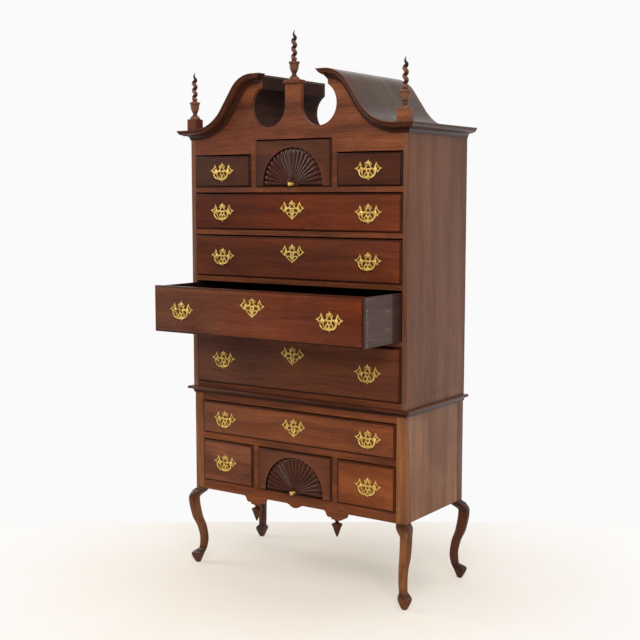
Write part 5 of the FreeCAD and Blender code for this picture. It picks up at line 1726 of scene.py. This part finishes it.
@dataclass
class Drawer:
    """One drawer: moulded front, dovetailed sides, bottom, back and its brasses."""

    works: BrassWork
    fan: FanCarving
    name: str
    kind: Kind
    across: Pair
    up: Pair
    face: float
    tones: tuple[Triple, Triple]
    seed: int
    gap_side: float = 4
    gap_top: float = 5
    gap_bottom: float = 1.5
    depth: float = 430
    thick: float = 22
    board: float = 12
    handle_x: float = 350
    key_drop: float = 57
    moulded: float = 5.2
    land: float = 3.2
    side_inset: float = 1
    side_drop: float = 3
    runner_gap: float = 0.3
    groove: float = 6
    bottom: Pair = (8, 15)
    back_drop: float = 6
    pin_start: float = 12
    pin_wedge: tuple[Pair, ...] = ((0, -5.5), (15, -2.6), (15, 2.6), (0, 5.5))

    @property
    def edges(self) -> tuple[float, float, float, float]:
        """Give the left, right, lower and upper edge of the front."""
        return (self.across[0] + self.gap_side, self.across[1] - self.gap_side,
                self.up[0] + self.gap_bottom, self.up[1] - self.gap_top)

    def rim(self, inset: float, deep: float, spots: Sequence[tuple[int, float]]) -> list[Vector]:
        """Give a ring round the front.

        Args:
            inset: Distance inside the edges of the front.
            deep: Distance behind its face.
            spots: Side and share of the side for each point, anticlockwise from the lower
                right corner.

        Returns:
            The points.
        """
        left, right, low, high = self.edges
        corners = [Vector((x, self.face + deep, z)) for x, z in (
            (right - inset, low + inset), (right - inset, high - inset),
            (left + inset, high - inset), (left + inset, low + inset))]
        return [corners[side].lerp(corners[(side + 1) % 4], share) for side, share in spots]

    def recess(self, inset: float, centre: Pair, reach: Callable[[float], float],
               extra: Sequence[float]) -> tuple[list[tuple[int, float]], list[Vector]]:
        """Lead rays from the middle of a recess to the moulded edge of the front.

        Args:
            inset: Width of the moulded edge.
            centre: (x, z) middle of the recess.
            reach: Distance from that middle to the edge of the recess, by angle.
            extra: Angles at which the recess has corners.

        Returns:
            Where each ray meets the moulded edge, as for rim(), and the edge of the recess.
        """
        corners = self.rim(inset, 0, [(side, 0.0) for side in range(4)])
        bearings = [math.atan2(spot.z - centre[1], spot.x - centre[0]) % FULL_TURN
                    for spot in corners]
        angles = set(turns(96)) | {angle % FULL_TURN for angle in extra} | set(bearings)
        spots, hole = [], []
        for angle in sorted(angles, key=lambda angle: (angle - bearings[0]) % FULL_TURN):
            way = Vector((math.cos(angle), math.sin(angle)))
            side = next(index for index in range(4) if (angle - bearings[index]) % FULL_TURN
                        < (bearings[(index + 1) % 4] - bearings[index]) % FULL_TURN)
            start, end = corners[side], corners[(side + 1) % 4]
            run = Vector((end.x - start.x, end.z - start.z))
            away = Vector((start.x - centre[0], start.z - centre[1]))
            share = (away.x * way.y - away.y * way.x) / (run.y * way.x - run.x * way.y)
            spots.append((side, min(max(share, 0.0), 1.0)))
            radius = reach(angle)
            hole.append(Vector((centre[0] + radius * way.x, self.face,
                                centre[1] + radius * way.y)))
        return spots, hole

    def front(self, draft: Draft, inset: float, land: float, sunk: float = 0.0,
              spots: Sequence[tuple[int, float]] = ((0, 0.0), (1, 0.0), (2, 0.0), (3, 0.0)),
              hole: Sequence[Vector] = ()) -> None:
        """Add the front board, with a recess where it has one.

        Args:
            draft: Where to add it.
            inset: Width of its moulded edge.
            land: Width of the ring over which the painted shade of the moulded edge fades out.
            sunk: Depth of the recess.
            spots: Places round the front, as for rim().
            hole: Edge of the recess, or nothing where the front is plain.
        """
        step = min(0.9, inset * 0.2)
        curve = inset - 0.6
        ends = [2 if side in (0, 2) else 0 for side, _ in spots]
        rows = [self.rim(0, step + curve, spots)]
        # Painted shade on the front's edge faces, in the gap round the drawer.
        draft.skin([self.rim(0, self.thick, spots), rows[0]], caps=(True, False),
                   row_shade_and_wear=(-0.3, -0.5), slots=ends)
        for angle in [math.radians(turn) for turn in (22.5, 45, 67.5, 90)]:
            rows.append(self.rim(curve * (1 - math.cos(angle)),
                                 step + curve * (1 - math.sin(angle)), spots))
        rows += [self.rim(inset - 0.2, step, spots), self.rim(inset, 0, spots)]
        # Painted shade down the moulded edge, darkest at its step, fading out over the land.
        shade_and_wear = [-0.6, -0.7, -0.78, -0.84, -0.9, -0.97, -0.5 if land else -0.3]
        if land:
            rows.append(self.rim(inset + land, 0, spots))
            shade_and_wear.append(0.0)
        draft.skin(rows, caps=(False, not hole), row_shade_and_wear=shade_and_wear)
        if hole:
            draft.skin([rows[-1], hole], caps=(False, False), row_shade_and_wear=(shade_and_wear[-1], 0))
            # Painted shade down the wall of the recess.
            draft.skin([hole, [spot - FORWARD * sunk for spot in hole]], caps=(False, True),
                       slot=1, row_shade_and_wear=(0, -1))

    def box(self, draft: Draft) -> None:
        """Add the sides, the bottom and the back to a draft."""
        left, right, _, high = self.edges
        left, right = left + self.side_inset, right - self.side_inset
        near, far = left + self.board, right - self.board
        floor, top = self.up[0] + self.runner_gap, high - self.side_drop
        low, rise = [floor + level for level in self.bottom]
        start, end = self.face + self.thick, self.face + self.depth
        half = (right - left - self.board) / 2
        middle = (left + right) / 2
        for low_x in (left, far):
            # Painted shade on the inner faces of the side boards.
            draft.board((low_x, start - 0.1, floor), (low_x + self.board, end, top), 0.9, 2,
                        lambda spot: -1.0 if abs(spot.x - middle) < half else 0.0)
        draft.board((near - self.groove, start - self.groove, low),
                    (far + self.groove, end, rise), 0.5, 3)
        draft.board((near, end - self.board, rise), (far, end, top - self.back_drop), 0.9, 3)

    def pins(self) -> Mesh:
        """Repeat the dovetail pins up the corner of the front.

        Returns:
            Their mesh, with the lowest pin at the origin.
        """
        height = self.up[1] - self.up[0]
        count = max(2, round(height / 36))
        growth = Growth("dovetail_pins", {"Pins": count, "Spacing": (height - 26) / (count - 1)})
        wires, inlet = growth.wires, growth.inlet
        line = wires.add("GeometryNodeMeshLine", {"Count": inlet["Pins"]})
        offset = wires.out("ShaderNodeCombineXYZ", {2: inlet["Spacing"]})
        for socket in line.inputs:
            if socket.name == "Offset":
                wires.tree.links.new(offset, socket)
        pins = wires.out("GeometryNodeInstanceOnPoints", {"Points": line.outputs[0],
                                                          "Instance": inlet["Geometry"]})
        form = bmesh.new()
        near, far = [[form.verts.new((x, y, z)) for y, z in self.pin_wedge]
                     for x in (-0.25, 0.25)]
        form.faces.new(near)
        form.faces.new(far[::-1])
        for index in range(4):
            form.faces.new((near[index - 1], near[index], far[index], far[index - 1]))
        return growth.run(pins, to_mesh(form, "pin"))

    def build(self) -> None:
        """Make the drawer with its brasses and bails."""
        left, right, low, high = self.edges
        fan = self.fan
        draft = Draft()
        if self.kind is Kind.LONG:
            centre = (0.0, high - self.key_drop + self.works.keyhole[0])
            self.front(draft, self.moulded, self.land, 10,
                       *self.recess(self.moulded, centre, self.works.key_reach, ()))
        elif self.kind is Kind.SHELL:
            hub = Vector((0, self.face, low + fan.rise))
            self.front(draft, fan.sill, 0, fan.floor,
                       *self.recess(fan.sill, (0.0, hub.z), fan.reach,
                                    (-fan.lean, math.pi + fan.lean)))
            draft.take(fan.carved, hub, 1)
            draft.skin(fan.hub_rows(hub), caps=(False, False), slot=1)
        else:
            self.front(draft, self.moulded, self.land)
        self.box(draft)
        pins = self.pins()
        for x in (left + self.side_inset, right - self.side_inset):
            place = Vector((x, self.face + self.thick, self.up[0] + self.pin_start))
            draft.take(pins, place, 4)
        shift = (1.7 * self.seed, 2.3 * self.seed, 0.9 * self.seed)
        board = Wood("mahogany_" + self.name, Grain.ACROSS, *self.tones, self.across,
                     shift=shift, contrast=0.8)
        side = BoxSideWood(f"drawer_side_{abs(self.face):.0f}", self.face)
        draft.finish("dressed_" + self.name, self.name, board, CARVING, side, SHADED_INNER, PINS,
                     body=self.name, slot="drawer_wood", sharp=30)
        self.fit_brasses()

    def fit_brasses(self) -> None:
        """Make the brasses and the bails."""
        works = self.works
        _, _, low, high = self.edges
        middle = (low + high) / 2
        spots: dict[str, float] = {}
        if self.kind is Kind.LONG:
            spots = {"_left": -self.handle_x, "_right": self.handle_x}
        elif self.kind is Kind.SMALL:
            spots = {"": math.copysign(self.handle_x, self.across[0])}
        draft = Draft()
        for x in spots.values():
            works.add_handle(draft, Vector((x, self.face, middle)))
        if self.kind is Kind.LONG:
            works.add_lock(draft, Vector((0, self.face, high - self.key_drop)))
        if self.kind is Kind.SHELL:
            draft.turn(works.knob, Vector((0, self.face, low + self.fan.rise)), FORWARD, 32)
        draft.finish("cast_" + self.name + "_brasses", self.name + "_brasses", BRASS,
                     body=self.name, slot="brass", sharp=32)
        for hand, x in spots.items():
            body = self.name + "_bail" + hand
            draft = works.bail(Vector((x, self.face - works.pivot, middle)))
            draft.finish("cast_" + body, body, BRASS, body=body, slot="brass")


@dataclass
class DrawerSet:
    """The eleven drawers, from the top row down."""

    upper: float = 496
    lower: float = 472
    shell: float = 182
    divider: float = 206
    upper_face: float = -6
    open_face: float = -264
    lower_face: float = -1

    def build(self) -> None:
        """Make all drawers."""
        works, fan = BrassWork(), FanCarving()
        wide, narrow = (-self.upper, self.upper), (-self.lower, self.lower)
        shell, top, low = (-self.shell, self.shell), self.upper_face, self.lower_face
        rows = (
            ("small_drawer_top_left", (-self.upper, -self.divider), (1599, 1730), top,
             ((72, 40, 26), (74, 40, 25))),
            ("shell_drawer_top", shell, (1599, 1785), top, ((88, 50, 34), (94, 52, 33))),
            ("small_drawer_top_right", (self.divider, self.upper), (1599, 1730), top,
             ((73, 37, 23), (76, 38, 23))),
            ("long_drawer_1", wide, (1428, 1578), top, ((88, 34, 15), (108, 50, 24))),
            ("long_drawer_2", wide, (1236, 1407), top, ((98, 46, 24), (110, 50, 24))),
            ("long_drawer_3", wide, (1025, 1215), self.open_face, ((108, 64, 45), (106, 44, 15))),
            ("long_drawer_4", wide, (791, 1004), top, ((94, 57, 42), (106, 54, 30))),
            ("long_drawer_5", narrow, (575, 713), low, ((102, 60, 41), (128, 66, 34))),
            ("small_drawer_bottom_left", (-self.lower, -self.divider), (370, 548), low,
             ((112, 64, 44), (122, 70, 46))),
            ("shell_drawer_bottom", shell, (370, 548), low, ((98, 56, 38), (108, 58, 37))),
            ("small_drawer_bottom_right", (self.divider, self.lower), (370, 548), low,
             ((122, 64, 32), (136, 71, 34))),
        )
        for seed, (name, *sizes) in enumerate(rows):
            kind = Kind[name.split("_")[0].upper()]
            Drawer(works, fan, name, kind, *sizes, seed).build()


# ---------------------------------------------------------------------------
# The whole
# ---------------------------------------------------------------------------

@dataclass
class Boards:
    """Sawn boards of both cases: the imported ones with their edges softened."""

    edge: float = 0.8

    def soften(self, source: Mesh, name: str) -> Mesh:
        """Give a copy of a board with rounded edges.

        Args:
            source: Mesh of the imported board, in metres.
            name: Name of the copy.

        Returns:
            The copy.
        """
        form = bmesh.new()
        form.from_mesh(source)
        bmesh.ops.remove_doubles(form, verts=form.verts, dist=0.01 * MM)
        bmesh.ops.dissolve_limit(form, angle_limit=math.radians(1), verts=form.verts,
                                 edges=form.edges)
        edges = [edge for edge in form.edges if edge.calc_face_angle(0) > math.radians(30)]
        bmesh.ops.bevel(form, geom=edges, offset=self.edge * MM, segments=2, affect="EDGES",
                        profile=0.5, clamp_overlap=True)
        bmesh.ops.triangulate(form, faces=[face for face in form.faces if len(face.verts) > 4])
        return to_mesh(form, name)

    def build(self) -> None:
        """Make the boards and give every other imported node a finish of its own."""
        finishes = {
            "upper_sides": SIDES_AND_SHEEN, "lower_side_panels": SIDES_AND_SHEEN, "upper_rails": RAILS,
            "lower_rails": RAILS, "upper_back_panel": BACKING, "lower_back_panel": BACKING,
            "upper_runners": SHADED_INNER, "lower_runners": SHADED_INNER, "upper_top_board": SHADED_INNER,
            "upper_bottom_board": RAILS}
        for name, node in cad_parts.items():
            node.data.materials.clear()
            node.data.materials.append(finishes.get(name, RAILS).made())
        for name, finish in finishes.items():
            mesh = self.soften(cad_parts[name].data, "softened_" + name)
            slot = "case_wood" if finish in (SIDES_AND_SHEEN, RAILS) else "secondary_wood"
            settle(mesh, name, (finish,), slot=slot, sharp=20)


def as_numbers(bounds: Any) -> list[Any]:
    """Turn nested corners into plain lists of numbers."""
    return [as_numbers(part) if hasattr(part, "__len__") else float(part) for part in bounds]


def main() -> None:
    """Build the highboy and its studio."""
    logging.basicConfig(level=logging.INFO, format="%(name)s %(message)s")
    packed = as_numbers(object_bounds())
    for work in (Studio, Boards, Legs, Apron, WaistMoulding, Bonnet, Finials, DrawerSet):
        work().build()
    {"packed": packed, "dressed": as_numbers(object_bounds())}


if __name__ == "__main__":
    main()
